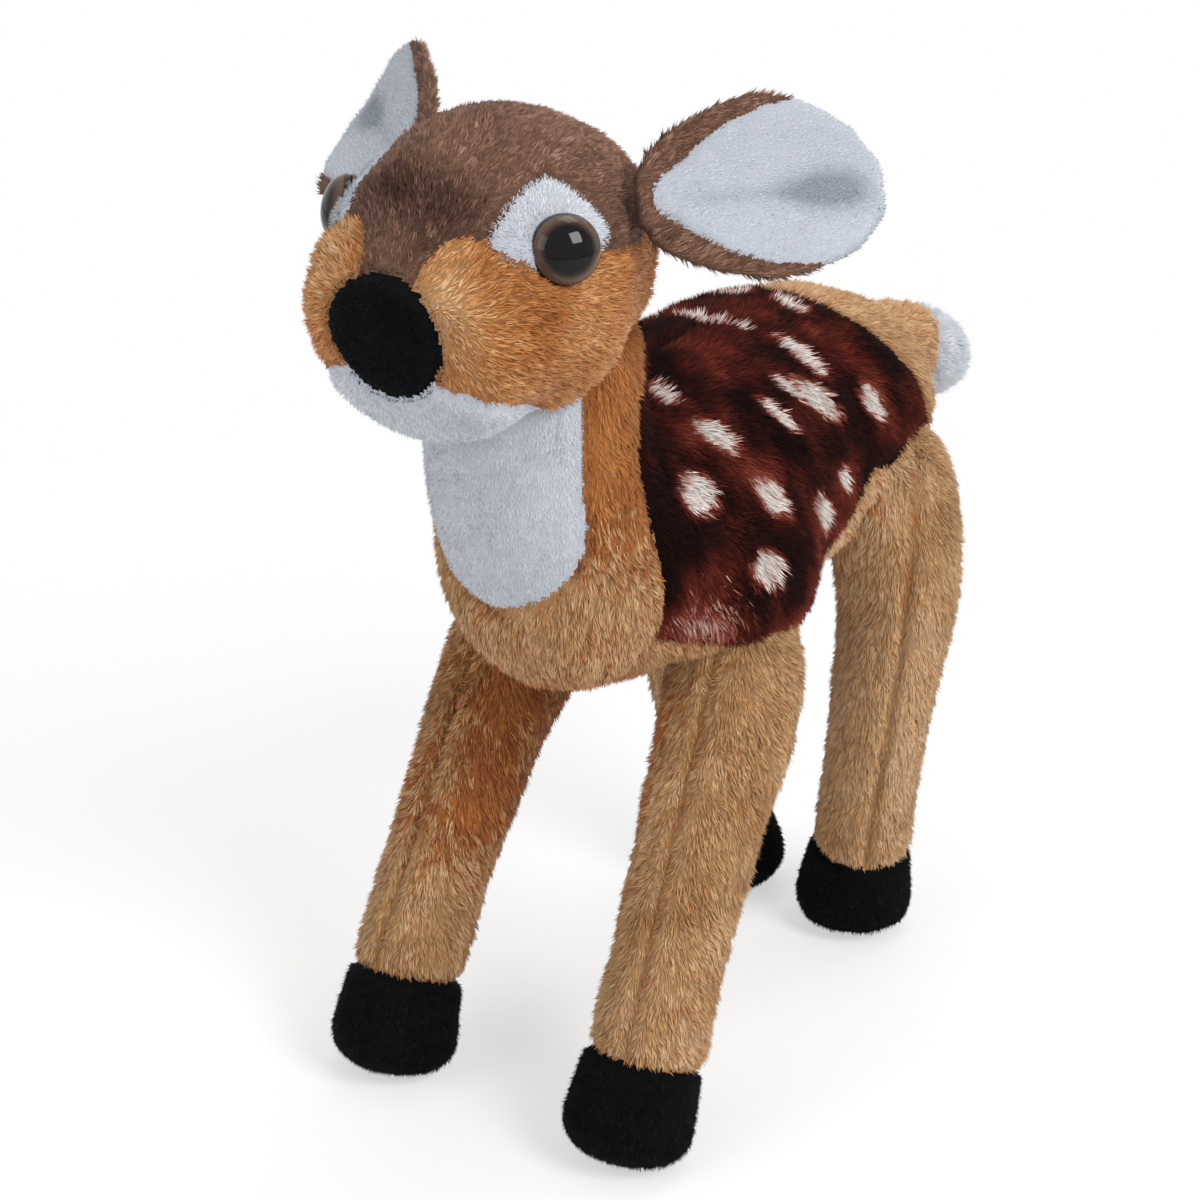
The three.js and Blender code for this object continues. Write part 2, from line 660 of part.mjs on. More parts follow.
const headSkin = headOutside.subtract(solidOf(stuffed(headForm, fabric)))
  .subtract(headCuts).subtract(both(eyePocket.add(washerHole(layerGap - washerDepth))));
const headStuffing = solidOf(stuffed(headForm, inside))
  .subtract(headCuts).subtract(both(eyePocket.add(washerHole(overrun))));

const patchAcross = new THREE.Vector3().crossVectors(upward, eyeDirection).normalize();
const patchUp = new THREE.Vector3().crossVectors(eyeDirection, patchAcross);
const patchPlane = {
  origin: eyeSeat.clone().addScaledVector(patchAcross, -patchForward).addScaledVector(patchUp, patchRise),
  across: patchAcross,
  up: patchUp,
};
const patchOutline = [];
for (let k = 0; k < counts.patchSides; k += 1) {
  const turn = k / counts.patchSides * Math.PI * 2;
  const pointed = share => Math.sign(share) * Math.abs(share) ** patchPoint;
  const height = Math.sin(turn) > 0 ? patchAbove : patchBelow;
  patchOutline.push(new THREE.Vector2(
    pointed(Math.cos(turn)) * patchHalfLength, pointed(Math.sin(turn)) * height));
}
const patchPrism = amount => prism(grown(patchOutline, amount), patchPlane, -patchDepth, patchDepth);
const eyePatches = headSkin.intersect(both(patchPrism(-seamGap / 2)));

const noseOutline = [];
for (let k = 0; k < counts.noseSides; k += 1) {
  const turn = k / counts.noseSides * Math.PI * 2;
  noseOutline.push(new THREE.Vector2(
    Math.cos(turn) * noseHalfWidth, headAxisHeight - noseDrop + Math.sin(turn) * noseHalfHeight));
}
const nosePrism = amount => prism(grown(noseOutline, amount), frontPlane, -headFront - noseDepth, overrun);

const onHead = ([y, z]) => new THREE.Vector2(
  headCentreY + y * headHalfLength, headAxisHeight + z * headHalfHeight);
const crownOutline = anticlockwise(crownShares.map(onHead));
const jawOutline = anticlockwise(jawShares.map(onHead));
const face = headSkin.subtract(both(patchPrism(seamGap / 2))).subtract(nosePrism(seamGap / 2));
const bridgeOutline = bridgeShares.map(
  ([x, y]) => new THREE.Vector2(x * noseHalfWidth, headCentreY + y * headHalfLength));
const planPlane = {
  origin: new THREE.Vector3(0, 0, headAxisHeight),
  across: leftward,
  up: new THREE.Vector3(0, 1, 0),
};
const crownPrism = amount => sidePrism(crownOutline, amount)
  .add(prism(grown(bridgeOutline, amount), planPlane, 0, overrun));
const cheeks = face.subtract(crownPrism(seamGap / 2)).subtract(sidePrism(jawOutline, seamGap / 2));

addPiece(head, 'head_stuffing', headStuffing, finishes.fibre);
addPiece(head, 'crown_panel', face.intersect(crownPrism(-seamGap / 2)), finishes.crown);
addPiece(head, 'jaw_panel', face.intersect(sidePrism(jawOutline, -seamGap / 2)), finishes.white);
addPiece(head, 'nose_disc', headSkin.intersect(nosePrism(-seamGap / 2)), finishes.black);
const earPoint = earRoot.toArray();
const twins = [
  ['left', solid => solid, earPoint, leftHalf],
  ['right', mirrored, [-earPoint[0], earPoint[1], earPoint[2]], rightHalf],
];
for (const [side, turned, point, half] of twins) {
  addPiece(head, `cheek_${side}`, cheeks.intersect(half), finishes.cheek);
  addPiece(head, `eye_patch_${side}`, eyePatches.intersect(half), finishes.white);
  addPiece(head, `eye_dome_${side}`, turned(eyeClear), finishes.eyeClear);
  addPiece(head, `eye_back_${side}`, turned(eyePainted), finishes.eyePaint);
  addPiece(head, `eye_washer_${side}`, turned(washer), finishes.washer);
  const ear = bodyAt(point, head, headPoint);
  addPiece(ear, `ear_back_${side}`, turned(earOuter), finishes.crown);
  addPiece(ear, `ear_lining_${side}`, turned(earLining), finishes.white);
}

// Leg pieces: two panels, a hoof and a sole over the stuffing
const floorCut = halfSpace(new THREE.Vector3(), upward, 0);
const aboveSole = halfSpace(new THREE.Vector3(0, 0, fabric), upward, layerGap);
for (const leg of [frontLeg, hindLeg]) {
  const whole = solidOf(stuffed(legForm(leg), 0)).intersect(floorCut);
  const hollow = solidOf(stuffed(legForm(leg), fabric));
  const stuffing = solidOf(stuffed(legForm(leg), inside)).intersect(aboveSole);
  const sole = whole.subtract(aboveSole.add(halfSpace(new THREE.Vector3(0, 0, fabric), upward, 0)));
  const skin = whole.subtract(hollow).intersect(aboveSole);
  const [thigh, knee, fetlock, soleCentre] = leg.places.map(place => new THREE.Vector3(...place));
  const down = soleCentre.clone().sub(fetlock).normalize();
  const hoofLine = soleCentre.clone().addScaledVector(down, hoofDome - soleFlat - hoofHeight);
  const hoof = skin.intersect(halfSpace(hoofLine, down, seamGap / 2));
  const shin = skin.intersect(halfSpace(hoofLine, down.clone().negate(), seamGap / 2));
  const run = fetlock.clone().sub(thigh).normalize();
  const outward = new THREE.Vector3().crossVectors(forward, run).normalize()
    .applyAxisAngle(run, -THREE.MathUtils.degToRad(leg.seamTurn));
  const outer = shin.intersect(halfSpace(knee, outward, seamGap / 2));
  const inner = shin.intersect(halfSpace(knee, outward.clone().negate(), seamGap / 2));
  for (const [side, turned] of twins) {
    const hip = side === 'left' ? leg.hip : [-leg.hip[0], leg.hip[1], leg.hip[2]];
    const body = bodyAt(hip, root);
    addPiece(body, `leg_${leg.name}_${side}_stuffing`, turned(stuffing), finishes.fibre);
    addPiece(body, `leg_${leg.name}_${side}_outer`, turned(outer), finishes.tan);
    addPiece(body, `leg_${leg.name}_${side}_inner`, turned(inner), finishes.tan);
    addPiece(body, `hoof_${leg.name}_${side}`, turned(hoof), finishes.black);
    addPiece(body, `sole_${leg.name}_${side}`, turned(sole), finishes.black);
  }
}

// Tail pieces: a tan saddle over the root half, and a white skin for the tip and the underside
const tail = bodyAt(tailRoot, root);
const tailWhole = solidOf(stuffed(tailForm, 0));
const tailSkin = tailWhole.subtract(solidOf(stuffed(tailForm, fabric)));
const tailStuffing = solidOf(stuffed(tailForm, inside));
const tailPlane = {
  origin: new THREE.Vector3(...tailRoot),
  across: tailLine.clone().normalize(),
  up: leftward,
};
const tailTopShares = [[-0.5, -1], [0.35, -1], [0.55, -0.6], [0.62, 0], [0.55, 0.6], [0.35, 1], [-0.5, 1]];
const tailTopOutline = tailTopShares.map(
  ([along, out]) => new THREE.Vector2(along * tailLine.length(), out * tailTopHalfWidth));
const tailTopPrism = amount => prism(
  grown(tailTopOutline, amount), tailPlane, -overrun, amount + tailTopWrap);
addPiece(tail, 'tail_stuffing', tailStuffing, finishes.fibre);
addPiece(tail, 'tail_top', tailSkin.intersect(tailTopPrism(-seamGap / 2)), finishes.tan);
addPiece(tail, 'tail_underside', tailSkin.subtract(tailTopPrism(seamGap / 2)), finishes.white);

// The origin lies on the floor below the middle of the whole length
root.updateMatrixWorld(true);
const extent = new THREE.Box3().setFromObject(root, true);
root.position.y = -(extent.min.y + extent.max.y) / 2;

export default root;
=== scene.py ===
# A standing spotted fawn soft toy: plush panels sewn over fibre filling, dressed on its CAD frame.
import itertools
import math

import bmesh
import bpy
import numpy as np
from mathutils import Matrix, Vector
from mathutils.bvhtree import BVHTree


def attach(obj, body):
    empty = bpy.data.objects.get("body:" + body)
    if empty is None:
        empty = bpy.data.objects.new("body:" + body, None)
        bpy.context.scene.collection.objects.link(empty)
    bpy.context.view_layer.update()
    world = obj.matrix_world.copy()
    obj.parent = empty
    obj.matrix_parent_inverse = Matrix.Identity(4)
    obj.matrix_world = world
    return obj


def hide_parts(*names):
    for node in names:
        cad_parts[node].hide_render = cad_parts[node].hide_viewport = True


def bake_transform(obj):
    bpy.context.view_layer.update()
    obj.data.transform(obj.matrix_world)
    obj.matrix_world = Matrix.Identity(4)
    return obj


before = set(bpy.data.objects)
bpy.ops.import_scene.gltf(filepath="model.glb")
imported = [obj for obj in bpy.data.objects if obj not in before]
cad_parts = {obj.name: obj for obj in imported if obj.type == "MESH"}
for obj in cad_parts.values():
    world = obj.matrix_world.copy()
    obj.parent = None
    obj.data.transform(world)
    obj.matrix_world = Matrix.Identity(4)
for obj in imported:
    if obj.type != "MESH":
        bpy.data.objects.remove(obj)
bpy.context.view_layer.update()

# The trunk is one bag of polyester plush: two printed saddle panels, a chest, a throat bib, a belly
# and a rump panel, sewn inside out, turned, and stuffed firm with fibre. The seams show as grooves
# where the pile parts.
mm = 0.001
weld = 0.01 * mm
trunk_voxel = 3 * mm
trunk_inset = 1.2 * mm
trunk_groove = 0.8 * mm
groove_width = 1.7 * mm
seam_close = 0.3 * mm
seam_hold = 2.5 * mm
puff_cap = 1.0 * mm
cloth_frames = 20
nap_fullness = 0.7 * mm
backing_thickness = 1.2 * mm
hips = {
    "leg_front_left": (30, -28.25, 130),
    "leg_front_right": (-30, -28.25, 130),
    "leg_hind_left": (31, 48.75, 140),
    "leg_hind_right": (-31, 48.75, 140),
}
tail_root = (0, 84.75, 172)


def place(point):
    """A point in millimetres as the scene's metres."""
    return Vector(point) * mm


def fades_in(values, start, over):
    """0 at the start, then straight up to 1; a negative length runs the other way."""
    return np.clip((values - start) / over, 0, 1)


def hump(values, middle, half):
    """1 at the middle, falling off smoothly on both sides."""
    return np.exp(-((values - middle) / half) ** 2)


def merged(node):
    """A CAD node's faces with their shared corners joined."""
    shell = bmesh.new()
    shell.from_mesh(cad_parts[node].data)
    bmesh.ops.remove_doubles(shell, verts=shell.verts, dist=weld)
    bmesh.ops.recalc_face_normals(shell, faces=shell.faces)
    return shell


def search_tree(node):
    """The search tree of a CAD node's faces."""
    shell = merged(node)
    tree = BVHTree.FromBMesh(shell)
    shell.free()
    return tree


def settle(item):
    """Applies the modifiers of a mesh object to its mesh."""
    drawn = bpy.context.evaluated_depsgraph_get()
    finished = bpy.data.meshes.new_from_object(item.evaluated_get(drawn))
    item.modifiers.clear()
    item.data = finished


def array_of(items, field, width):
    """One field of a Blender collection as rows of numbers."""
    values = np.empty(len(items) * width, np.float32)
    items.foreach_get(field, values)
    return values.reshape(-1, width).astype(float)


def corners_of(item):
    """Where the corners of an object's mesh are."""
    return array_of(item.data.vertices, "co", 3)


def new_object(name, data):
    """An object of the scene that holds a mesh, a lamp or the camera."""
    item = bpy.data.objects.new(name, data)
    bpy.context.collection.objects.link(item)
    return item


def distances_to(points, panels):
    """How far each point is from each of the CAD panels, one column for each."""
    trees = [search_tree(panel) for panel in panels]
    return np.array([[tree.find_nearest(point)[3] for tree in trees] for point in points])


def beside_seam(distances):
    """How far each point lies from the line where its panel meets the next one."""
    nearest, second = np.sort(distances, axis=1)[:, :2].T
    return np.sqrt(np.maximum(second ** 2 - nearest ** 2, 0))


def gather(whole, shell):
    """Adds a shell's faces to the mesh that takes them all."""
    part = bpy.data.meshes.new("part")
    shell.to_mesh(part)
    shell.free()
    whole.from_mesh(part)
    bpy.data.meshes.remove(part)


def bag(nodes, caps):
    """The nodes of a form in one mesh, with caps over the sockets that limbs go into."""
    whole = bmesh.new()
    for node in nodes:
        shell = merged(node)
        for corner in shell.verts:
            corner.co += corner.normal * seam_close
        gather(whole, shell)
    corners = [corner.co.copy() for corner in whole.verts]
    for centre, reach in caps:
        cap = bmesh.new()
        for corner in corners:
            if (corner - place(centre)).length < reach * mm:
                cap.verts.new(corner)
        hull = bmesh.ops.convex_hull(cap, input=cap.verts)
        bmesh.ops.delete(cap, geom=hull["geom_interior"], context="VERTS")
        bmesh.ops.recalc_face_normals(cap, faces=cap.faces)
        gather(whole, cap)
    return whole


def keep_largest(shell):
    """Drops all but the largest connected skin."""
    left = set(shell.verts)
    islands = []
    while left:
        island = {left.pop()}
        edge = list(island)
        while edge:
            near = {link.other_vert(corner) for corner in edge for link in corner.link_edges}
            edge = list(near & left)
            left -= near
            island |= near
        islands.append(island)
    largest = max(islands, key=len)
    bmesh.ops.delete(shell, geom=[v for v in shell.verts if v not in largest], context="VERTS")


def one_skin(name, shell, voxel, relax, inset):
    """One even closed skin over all that a mesh holds, softened and drawn in a little."""
    mesh = bpy.data.meshes.new(name)
    shell.to_mesh(mesh)
    shell.free()
    item = new_object(name, mesh)
    joined = item.modifiers.new("one skin", "REMESH")
    joined.mode = "VOXEL"
    joined.voxel_size = voxel
    item.modifiers.new("soften", "SMOOTH").iterations = relax
    settle(item)
    shell = bmesh.new()
    shell.from_mesh(item.data)
    keep_largest(shell)
    shell.normal_update()
    for corner in shell.verts:
        corner.co -= corner.normal * inset
    shell.to_mesh(item.data)
    shell.free()
    return item


def plump(item, seam):
    """The filling presses the fabric out between its seams, which hold it."""
    held = item.vertex_groups.new(name="seams")
    for index, gap in enumerate(seam):
        held.add([index], float(hump(gap, 0, seam_hold)), "REPLACE")
    rest = corners_of(item)
    fabric = item.modifiers.new("filling", "CLOTH").settings
    fabric.quality = 4
    fabric.use_pressure = True
    fabric.uniform_pressure_force = 4
    fabric.vertex_group_mass = "seams"
    fabric.tension_stiffness = 12
    fabric.compression_stiffness = 12
    fabric.bending_stiffness = 0.4
    fabric.effector_weights.gravity = 0
    for step in range(1, cloth_frames + 1):
        bpy.context.scene.frame_set(step)
    drawn = item.evaluated_get(bpy.context.evaluated_depsgraph_get())
    move = corners_of(drawn) - rest
    item.modifiers.clear()
    item.vertex_groups.clear()
    bpy.context.scene.frame_set(1)
    far = np.linalg.norm(move, axis=1)
    rest += move * np.minimum(1, puff_cap / np.maximum(far, weld))[:, None]
    item.data.vertices.foreach_set("co", rest.ravel())
    item.data.update()


def stuffed_form(stuffing, panels, voxel, inset, sunk, relax, caps=(), napped=(), worked=None):
    """One smooth closed skin round a form, with what is known at each of its points."""
    item = one_skin("form", bag(stuffing + panels, caps), voxel, relax, inset)
    points = corners_of(item)
    plump(item, beside_seam(distances_to(points, panels)))
    finer = item.modifiers.new("finer", "SUBSURF")
    finer.levels = finer.render_levels = 1
    item.modifiers.new("soften", "SMOOTH").iterations = 3
    settle(item)
    points = corners_of(item)
    normals = array_of(item.data.vertex_normals, "vector", 3)
    distances = distances_to(points, panels)
    seam = beside_seam(distances)
    short = np.isin(distances.argmin(1), [panels.index(panel) for panel in napped])
    groove = hump(seam, 0, groove_width)
    fuller = np.where(short, nap_fullness * (1 - groove), 0)
    if worked:
        fuller = fuller + worked(points)
    points += normals * (fuller - sunk * groove)[:, None]
    item.data.vertices.foreach_set("co", points.ravel())
    item.data.update()
    normals = array_of(item.data.vertex_normals, "vector", 3)
    faces = array_of(item.data.loops, "vertex_index", 1).astype(int).reshape(-1, 4)
    shell = bmesh.new()
    shell.from_mesh(item.data)
    tree = BVHTree.FromBMesh(shell)
    shell.free()
    bpy.data.objects.remove(item)
    return {
        "panels": panels, "points": points, "normals": normals, "faces": faces,
        "distances": distances, "seam": seam, "tree": tree,
    }


square_on = 0.7


def depth_in(tree, points):
    """How deep each point is inside a closed skin, square to its wall; below zero elsewhere."""
    depth = []
    for point in points:
        near, normal, _, far = tree.find_nearest(point)
        inward = (near - Vector(point)).dot(normal)
        depth.append(inward if inward > far * square_on else -far)
    return np.array(depth)


wave_count = 7
wave_height = 2.6


def waves(points, size, seed):
    """A smooth uneven field of about -1 to 1 that changes over the given size."""
    rng = np.random.default_rng(seed)
    field = np.zeros(len(points))
    for _ in range(wave_count):
        way = rng.normal(size=3)
        turns = 2 * math.pi / size * rng.uniform(0.6, 1.5) / np.linalg.norm(way)
        field += np.sin(points @ way * turns + rng.uniform(0, 2 * math.pi))
    return field / wave_height


def scattered(cells, seed, salt):
    """An even spread of numbers from 0 to 1, the same each time for the same cell."""
    primes = np.array([73856093, 19349663, 83492791], np.int64)
    mixed = (cells.astype(np.int64) * primes).sum(1) + seed * 9176 + salt * 6971
    mixed = (mixed ^ (mixed >> 13)) * 1274126177 % 2147483647
    mixed = (mixed ^ (mixed >> 11)) * 668265263 % 2147483647
    return (mixed ^ (mixed >> 7)) % 65536 / 65536


tuft_edge = 0.16


def tufts(points, size, seed):
    """The tuft that each strand gathers in: its middle, number and lean, and how near its edge is."""
    home = np.floor(points / size)
    best = np.full(len(points), np.inf)
    second = np.full(len(points), np.inf)
    middle = np.zeros_like(points)
    cell = np.zeros_like(points)
    for step in itertools.product((-1, 0, 1), repeat=3):
        near = home + step
        off = np.stack([scattered(near, seed, salt) for salt in range(3)], 1)
        centre = (near + off) * size
        far = ((points - centre) ** 2).sum(1)
        closer = far < best
        second = np.where(closer, best, np.minimum(second, far))
        best[closer] = far[closer]
        middle[closer] = centre[closer]
        cell[closer] = near[closer]
    lean = np.stack([scattered(cell, seed, salt) for salt in range(4, 7)], 1) * 2 - 1
    border = hump(np.sqrt(second), np.sqrt(best), tuft_edge * size)
    return middle, scattered(cell, seed, 8), lean, border


def unit(vectors):
    """The vectors at length one."""
    return vectors / np.maximum(np.linalg.norm(vectors, axis=1, keepdims=True), 1e-9)


def roots_on(form, per_square_mm, seed):
    """Points spread evenly over a form, with the normal, panel distances and seam distance at each."""
    rng = np.random.default_rng(seed)
    quads = form["faces"]
    corners = np.concatenate([quads[:, [0, 1, 2]], quads[:, [0, 2, 3]]])
    first, second, third = (form["points"][corners[:, k]] for k in range(3))
    area = np.linalg.norm(np.cross(second - first, third - first), axis=1) / 2 / mm ** 2
    count = np.floor(area * per_square_mm + rng.random(len(area))).astype(int)
    face = np.repeat(np.arange(len(corners)), count)
    u, v = rng.random((2, len(face)))
    over = u + v > 1
    u[over], v[over] = 1 - u[over], 1 - v[over]
    share = np.stack([1 - u - v, u, v], 1)[:, :, None]
    known = [form["points"], form["normals"], form["distances"], form["seam"][:, None]]
    root, normal, distances, seam = ((values[corners[face]] * share).sum(1) for values in known)
    return root, unit(normal), distances, seam[:, 0]


swirl_size, swirl_share = 18 * mm, 0.18
trimmed_width, trimmed_share = 1.6 * mm, 0.4
root_sink = 0.3 * mm
floor_clear = 0.4 * mm


def grown(root, normal, seam, pile, flow, seed):
    """The strands of one panel: a root and a tip each, and its tuft's number and border."""
    rng = np.random.default_rng(seed)
    drawn_out = np.array([1, 1, 1 / pile["run"]])
    middle, number, lean, border = tufts(root * drawn_out, pile["tuft"] * mm, seed)
    middle /= drawn_out
    along = unit(flow - (flow * normal).sum(1, keepdims=True) * normal)
    swirl = np.stack([waves(root, swirl_size, seed + k) for k in (1, 2, 3)], 1)
    shared = normal * pile["lift"] + along + lean * pile["stray"] + swirl * swirl_share
    way = unit(shared + rng.normal(size=root.shape) * pile["jitter"])
    length = pile["length"] * mm * (0.7 + 0.6 * rng.random(len(root)))
    length *= 1 - trimmed_share * hump(seam, 0, trimmed_width)
    middle -= ((middle - root) * normal).sum(1, keepdims=True) * normal
    tip = root + way * length[:, None]
    together = middle + unit(shared) * length[:, None]
    tip += (together - tip) * pile["gather"]
    tip[:, 2] = np.maximum(tip[:, 2], floor_clear)
    return root - normal * root_sink, tip, number, border


def skin_shell(form, chosen):
    """The faces of one panel as a closed shell: an outer side, an inner side and a rim."""
    faces = form["faces"][chosen]
    used, flat = np.unique(faces, return_inverse=True)
    outer = flat.reshape(-1, 4)
    points = form["points"][used]
    normals = form["normals"][used]
    inner = outer[:, ::-1] + len(used)
    sides = np.concatenate([outer[:, [k, (k + 1) % 4]] for k in range(4)])
    known = {tuple(side) for side in sides.tolist()}
    rim = np.array([side for side in sides.tolist() if (side[1], side[0]) not in known], int)
    start, end = rim.reshape(-1, 2).T
    wall = np.stack([end, start, start + len(used), end + len(used)], 1)
    all_points = np.concatenate([points, points - normals * backing_thickness])
    quads = np.concatenate([outer, inner, wall])
    return all_points, np.concatenate([normals, -normals]), quads, len(outer)


def store(mesh, field, values):
    """Keeps a number at each corner of a mesh, for its material to read."""
    layer = mesh.attributes.new(field, "FLOAT", "POINT")
    layer.data.foreach_set("value", values.astype(np.float32))


# How a panel's UV map shares out its square: the backing below, and the strands in columns by tone
backing_share = 0.78
tone_columns = 64
strand_foot, strand_tip = 0.82, 0.99


def plush_piece(name, shell, ground, strands, finishes):
    """A panel's mesh: its backing, and its pile as fine closed spikes, with their tone."""
    points, normals, quads, outside = shell
    root, tip, normal, tone, radius = strands
    way = unit(tip - root)
    across = unit(np.cross(way, normal) + 1e-6)
    up = np.cross(way, across)
    turns = [math.radians(turn) for turn in (90, 210, 330)]
    rays = [across * math.cos(turn) + up * math.sin(turn) for turn in turns]
    count = len(root)
    corners = np.stack([root + ray * radius * mm for ray in rays] + [tip], 1).reshape(-1, 3)
    shades = np.stack([unit(normal * 0.7 + ray * 0.3) for ray in rays + [way]], 1).reshape(-1, 3)
    first = len(points) + np.arange(count) * 4
    sides = [(0, 1, 3), (1, 2, 3), (2, 0, 3), (0, 2, 1)]
    spikes = np.stack([np.stack([first + k for k in side], 1) for side in sides], 1).reshape(-1, 3)
    mesh = bpy.data.meshes.new(name)
    mesh.vertices.add(len(points) + len(corners))
    mesh.vertices.foreach_set("co", np.concatenate([points, corners]).ravel())
    mesh.loops.add(quads.size + spikes.size)
    mesh.loops.foreach_set("vertex_index", np.concatenate([quads.ravel(), spikes.ravel()]))
    mesh.polygons.add(len(quads) + len(spikes))
    starts = np.concatenate([np.arange(len(quads)) * 4, quads.size + np.arange(len(spikes)) * 3])
    mesh.polygons.foreach_set("loop_start", starts)
    mesh.update(calc_edges=True)
    mesh.polygons.foreach_set("use_smooth", np.ones(len(starts), bool))
    cloth = np.ones(len(starts), int)
    cloth[outside:len(quads)] = 0
    mesh.polygons.foreach_set("material_index", cloth)
    store(mesh, "tone", np.concatenate([ground, ground, np.repeat(tone, 4)]))
    # The backing's outer side counts as the pile's root, so it takes the pile's painted root shade
    store(mesh, "along", np.concatenate([np.zeros(len(points)), np.tile([0, 0, 0, 1], count)]))
    low, high = points.min(0), points.max(0)
    wide, tall = np.argsort(high - low)[::-1][:2]
    spot = (points - low) / (high - low)
    lower = np.stack([spot[:, wide], spot[:, tall] * backing_share], 1)
    column = np.minimum(np.floor(tone * tone_columns), tone_columns - 1)
    strip = np.stack([
        np.stack([column, column + 1, column + 0.5, column + 0.5], 1) / tone_columns,
        np.tile([strand_foot] * 3 + [strand_tip], (count, 1))], 2).reshape(-1, 2)
    layout = np.concatenate([lower, strip])[array_of(mesh.loops, "vertex_index", 1).astype(int)[:, 0]]
    mesh.uv_layers.new(name="OFBake").data.foreach_set("uv", layout.astype(np.float32).ravel())
    mesh.normals_split_custom_set_from_vertices(np.concatenate([normals, shades]).tolist())
    for finish in finishes:
        mesh.materials.append(finish)
    return new_object(name, mesh)


def linear(code):
    """A #rrggbb colour as the linear values that a shader takes."""
    shares = [int(code[k:k + 2], 16) / 255 for k in (1, 3, 5)]
    return [s / 12.92 if s <= 0.04045 else ((s + 0.055) / 1.055) ** 2.4 for s in shares] + [1]


def add_node(tree, kind, settings=None, links=None, stops=()):
    """Adds one node to a material, with its settings, what feeds it, and the colours along a ramp."""
    made = tree.nodes.new(kind)
    for name, value in (settings or {}).items():
        if isinstance(name, str) and hasattr(made, name):
            setattr(made, name, value)
        else:
            made.inputs[name].default_value = value
    for name, source in (links or {}).items():
        tree.links.new(source, made.inputs[name])
    if stops:
        bar = made.color_ramp.elements
        while len(bar) < len(stops):
            bar.new(0.5)
        for element, (share, code) in zip(bar, stops):
            element.position = share
            element.color = linear(code)
    return made


def new_finish(name, settings):
    """A material with its shader's own settings, and its node tree."""
    finish = bpy.data.materials.new(name)
    finish.use_nodes = True
    shader = finish.node_tree.nodes["Principled BSDF"]
    for socket, value in settings.items():
        shader.inputs[socket].default_value = value
    return finish, finish.node_tree, shader


def cut_pile(name, stops, painted_root_shade="#b4b4b4", sheen=0.08, gloss=0.2):
    """Cut polyester pile: matt, with painted shade that darkens it down at the root, each tuft a little
    off its neighbours.
    """
    finish, tree, shader = new_finish(name, {
        "Roughness": 0.85, "Specular IOR Level": gloss, "Sheen Weight": sheen, "Sheen Roughness": 0.5})
    tone = add_node(tree, "ShaderNodeAttribute", {"attribute_name": "tone"})
    along = add_node(tree, "ShaderNodeAttribute", {"attribute_name": "along"})
    dye = add_node(tree, "ShaderNodeValToRGB", links={"Fac": tone.outputs["Fac"]}, stops=stops)
    # Painted shade: each strand's colour darkens toward its root, where the pile shades itself
    shade = add_node(tree, "ShaderNodeValToRGB", links={"Fac": along.outputs["Fac"]},
                     stops=[(0, painted_root_shade), (0.55, "#ffffff")])
    both = add_node(tree, "ShaderNodeVectorMath", {"operation": "MULTIPLY"},
                    {0: dye.outputs["Color"], 1: shade.outputs["Color"]})
    tree.links.new(both.outputs["Vector"], shader.inputs["Base Color"])
    return finish


loop_size = 0.9 * mm
loop_relief = 0.2 * mm


def knit_backing(name, code):
    """Knitted polyester backing: rows of loops, seen only inside and at a panel's cut edge."""
    finish, tree, shader = new_finish(name, {"Roughness": 0.9, "Specular IOR Level": 0.2})
    where = add_node(tree, "ShaderNodeTexCoord")
    loops = add_node(tree, "ShaderNodeTexVoronoi", {"Scale": 1 / loop_size},
                     {"Vector": where.outputs["Object"]})
    dark = linear(code)
    dye = add_node(tree, "ShaderNodeValToRGB", links={"Fac": loops.outputs["Distance"]})
    dye.color_ramp.elements[0].color = [min(1, share * 1.5) for share in dark[:3]] + [1]
    dye.color_ramp.elements[1].color = dark
    tree.links.new(dye.outputs["Color"], shader.inputs["Base Color"])
    bump = add_node(tree, "ShaderNodeBump", {"Strength": 0.4, "Distance": loop_relief, "invert": True},
                    {"Height": loops.outputs["Distance"]})
    tree.links.new(bump.outputs["Normal"], shader.inputs["Normal"])
    return finish


# Tan cloth carries two dyes: rusty strands below a tone of 0.42, plain ones above
tan_stops = [
    (0, "#6b3f20"), (0.16, "#a05c2c"), (0.38, "#cc8444"), (0.44, "#a97c4c"), (0.62, "#cb9c6b"),
    (0.8, "#dab084"), (1, "#eacaa2"),
]
tan_pile = cut_pile("tan polyester pile", tan_stops)
tan_backing = knit_backing("tan knitted backing", "#a8733f")
# The print runs from near black through red brown, and above a tone of 0.72 it is the spots' white
saddle_stops = [
    (0, "#170a08"), (0.18, "#2a110d"), (0.36, "#521f17"), (0.56, "#783428"), (0.7, "#964f3f"),
    (0.76, "#bf8d80"), (0.86, "#ddd0c8"), (1, "#efe8e3"),
]
saddle_pile = cut_pile("printed saddle pile", saddle_stops, sheen=0, gloss=0.06)
saddle_backing = knit_backing("saddle knitted backing", "#2c1410")
white_stops = [(0, "#9aa1ab"), (0.4, "#c6cbd2"), (0.7, "#d8dce2"), (1, "#e8eaee")]
white_pile = cut_pile("white napped polyester", white_stops, "#cfd0d4", sheen=0.05)
white_backing = knit_backing("white knitted backing", "#b4bac4")

# Pile: lengths and sizes in millimetres, density in strands to a square millimetre
long_pile = {"length": 2.5, "radius": 0.24, "lift": 0.5, "tuft": 1.9, "run": 1.8, "stray": 0.26,
             "jitter": 0.16, "gather": 0.42, "density": 2.3}
saddle_cut = dict(long_pile, length=2.8, tuft=2.0, run=1.4, gather=0.35, density=2.4, radius=0.22)
white_nap = {"length": 1.2, "radius": 0.18, "lift": 0.7, "tuft": 1.3, "run": 1, "stray": 0.3,
             "jitter": 0.3, "gather": 0.15, "density": 3.1}


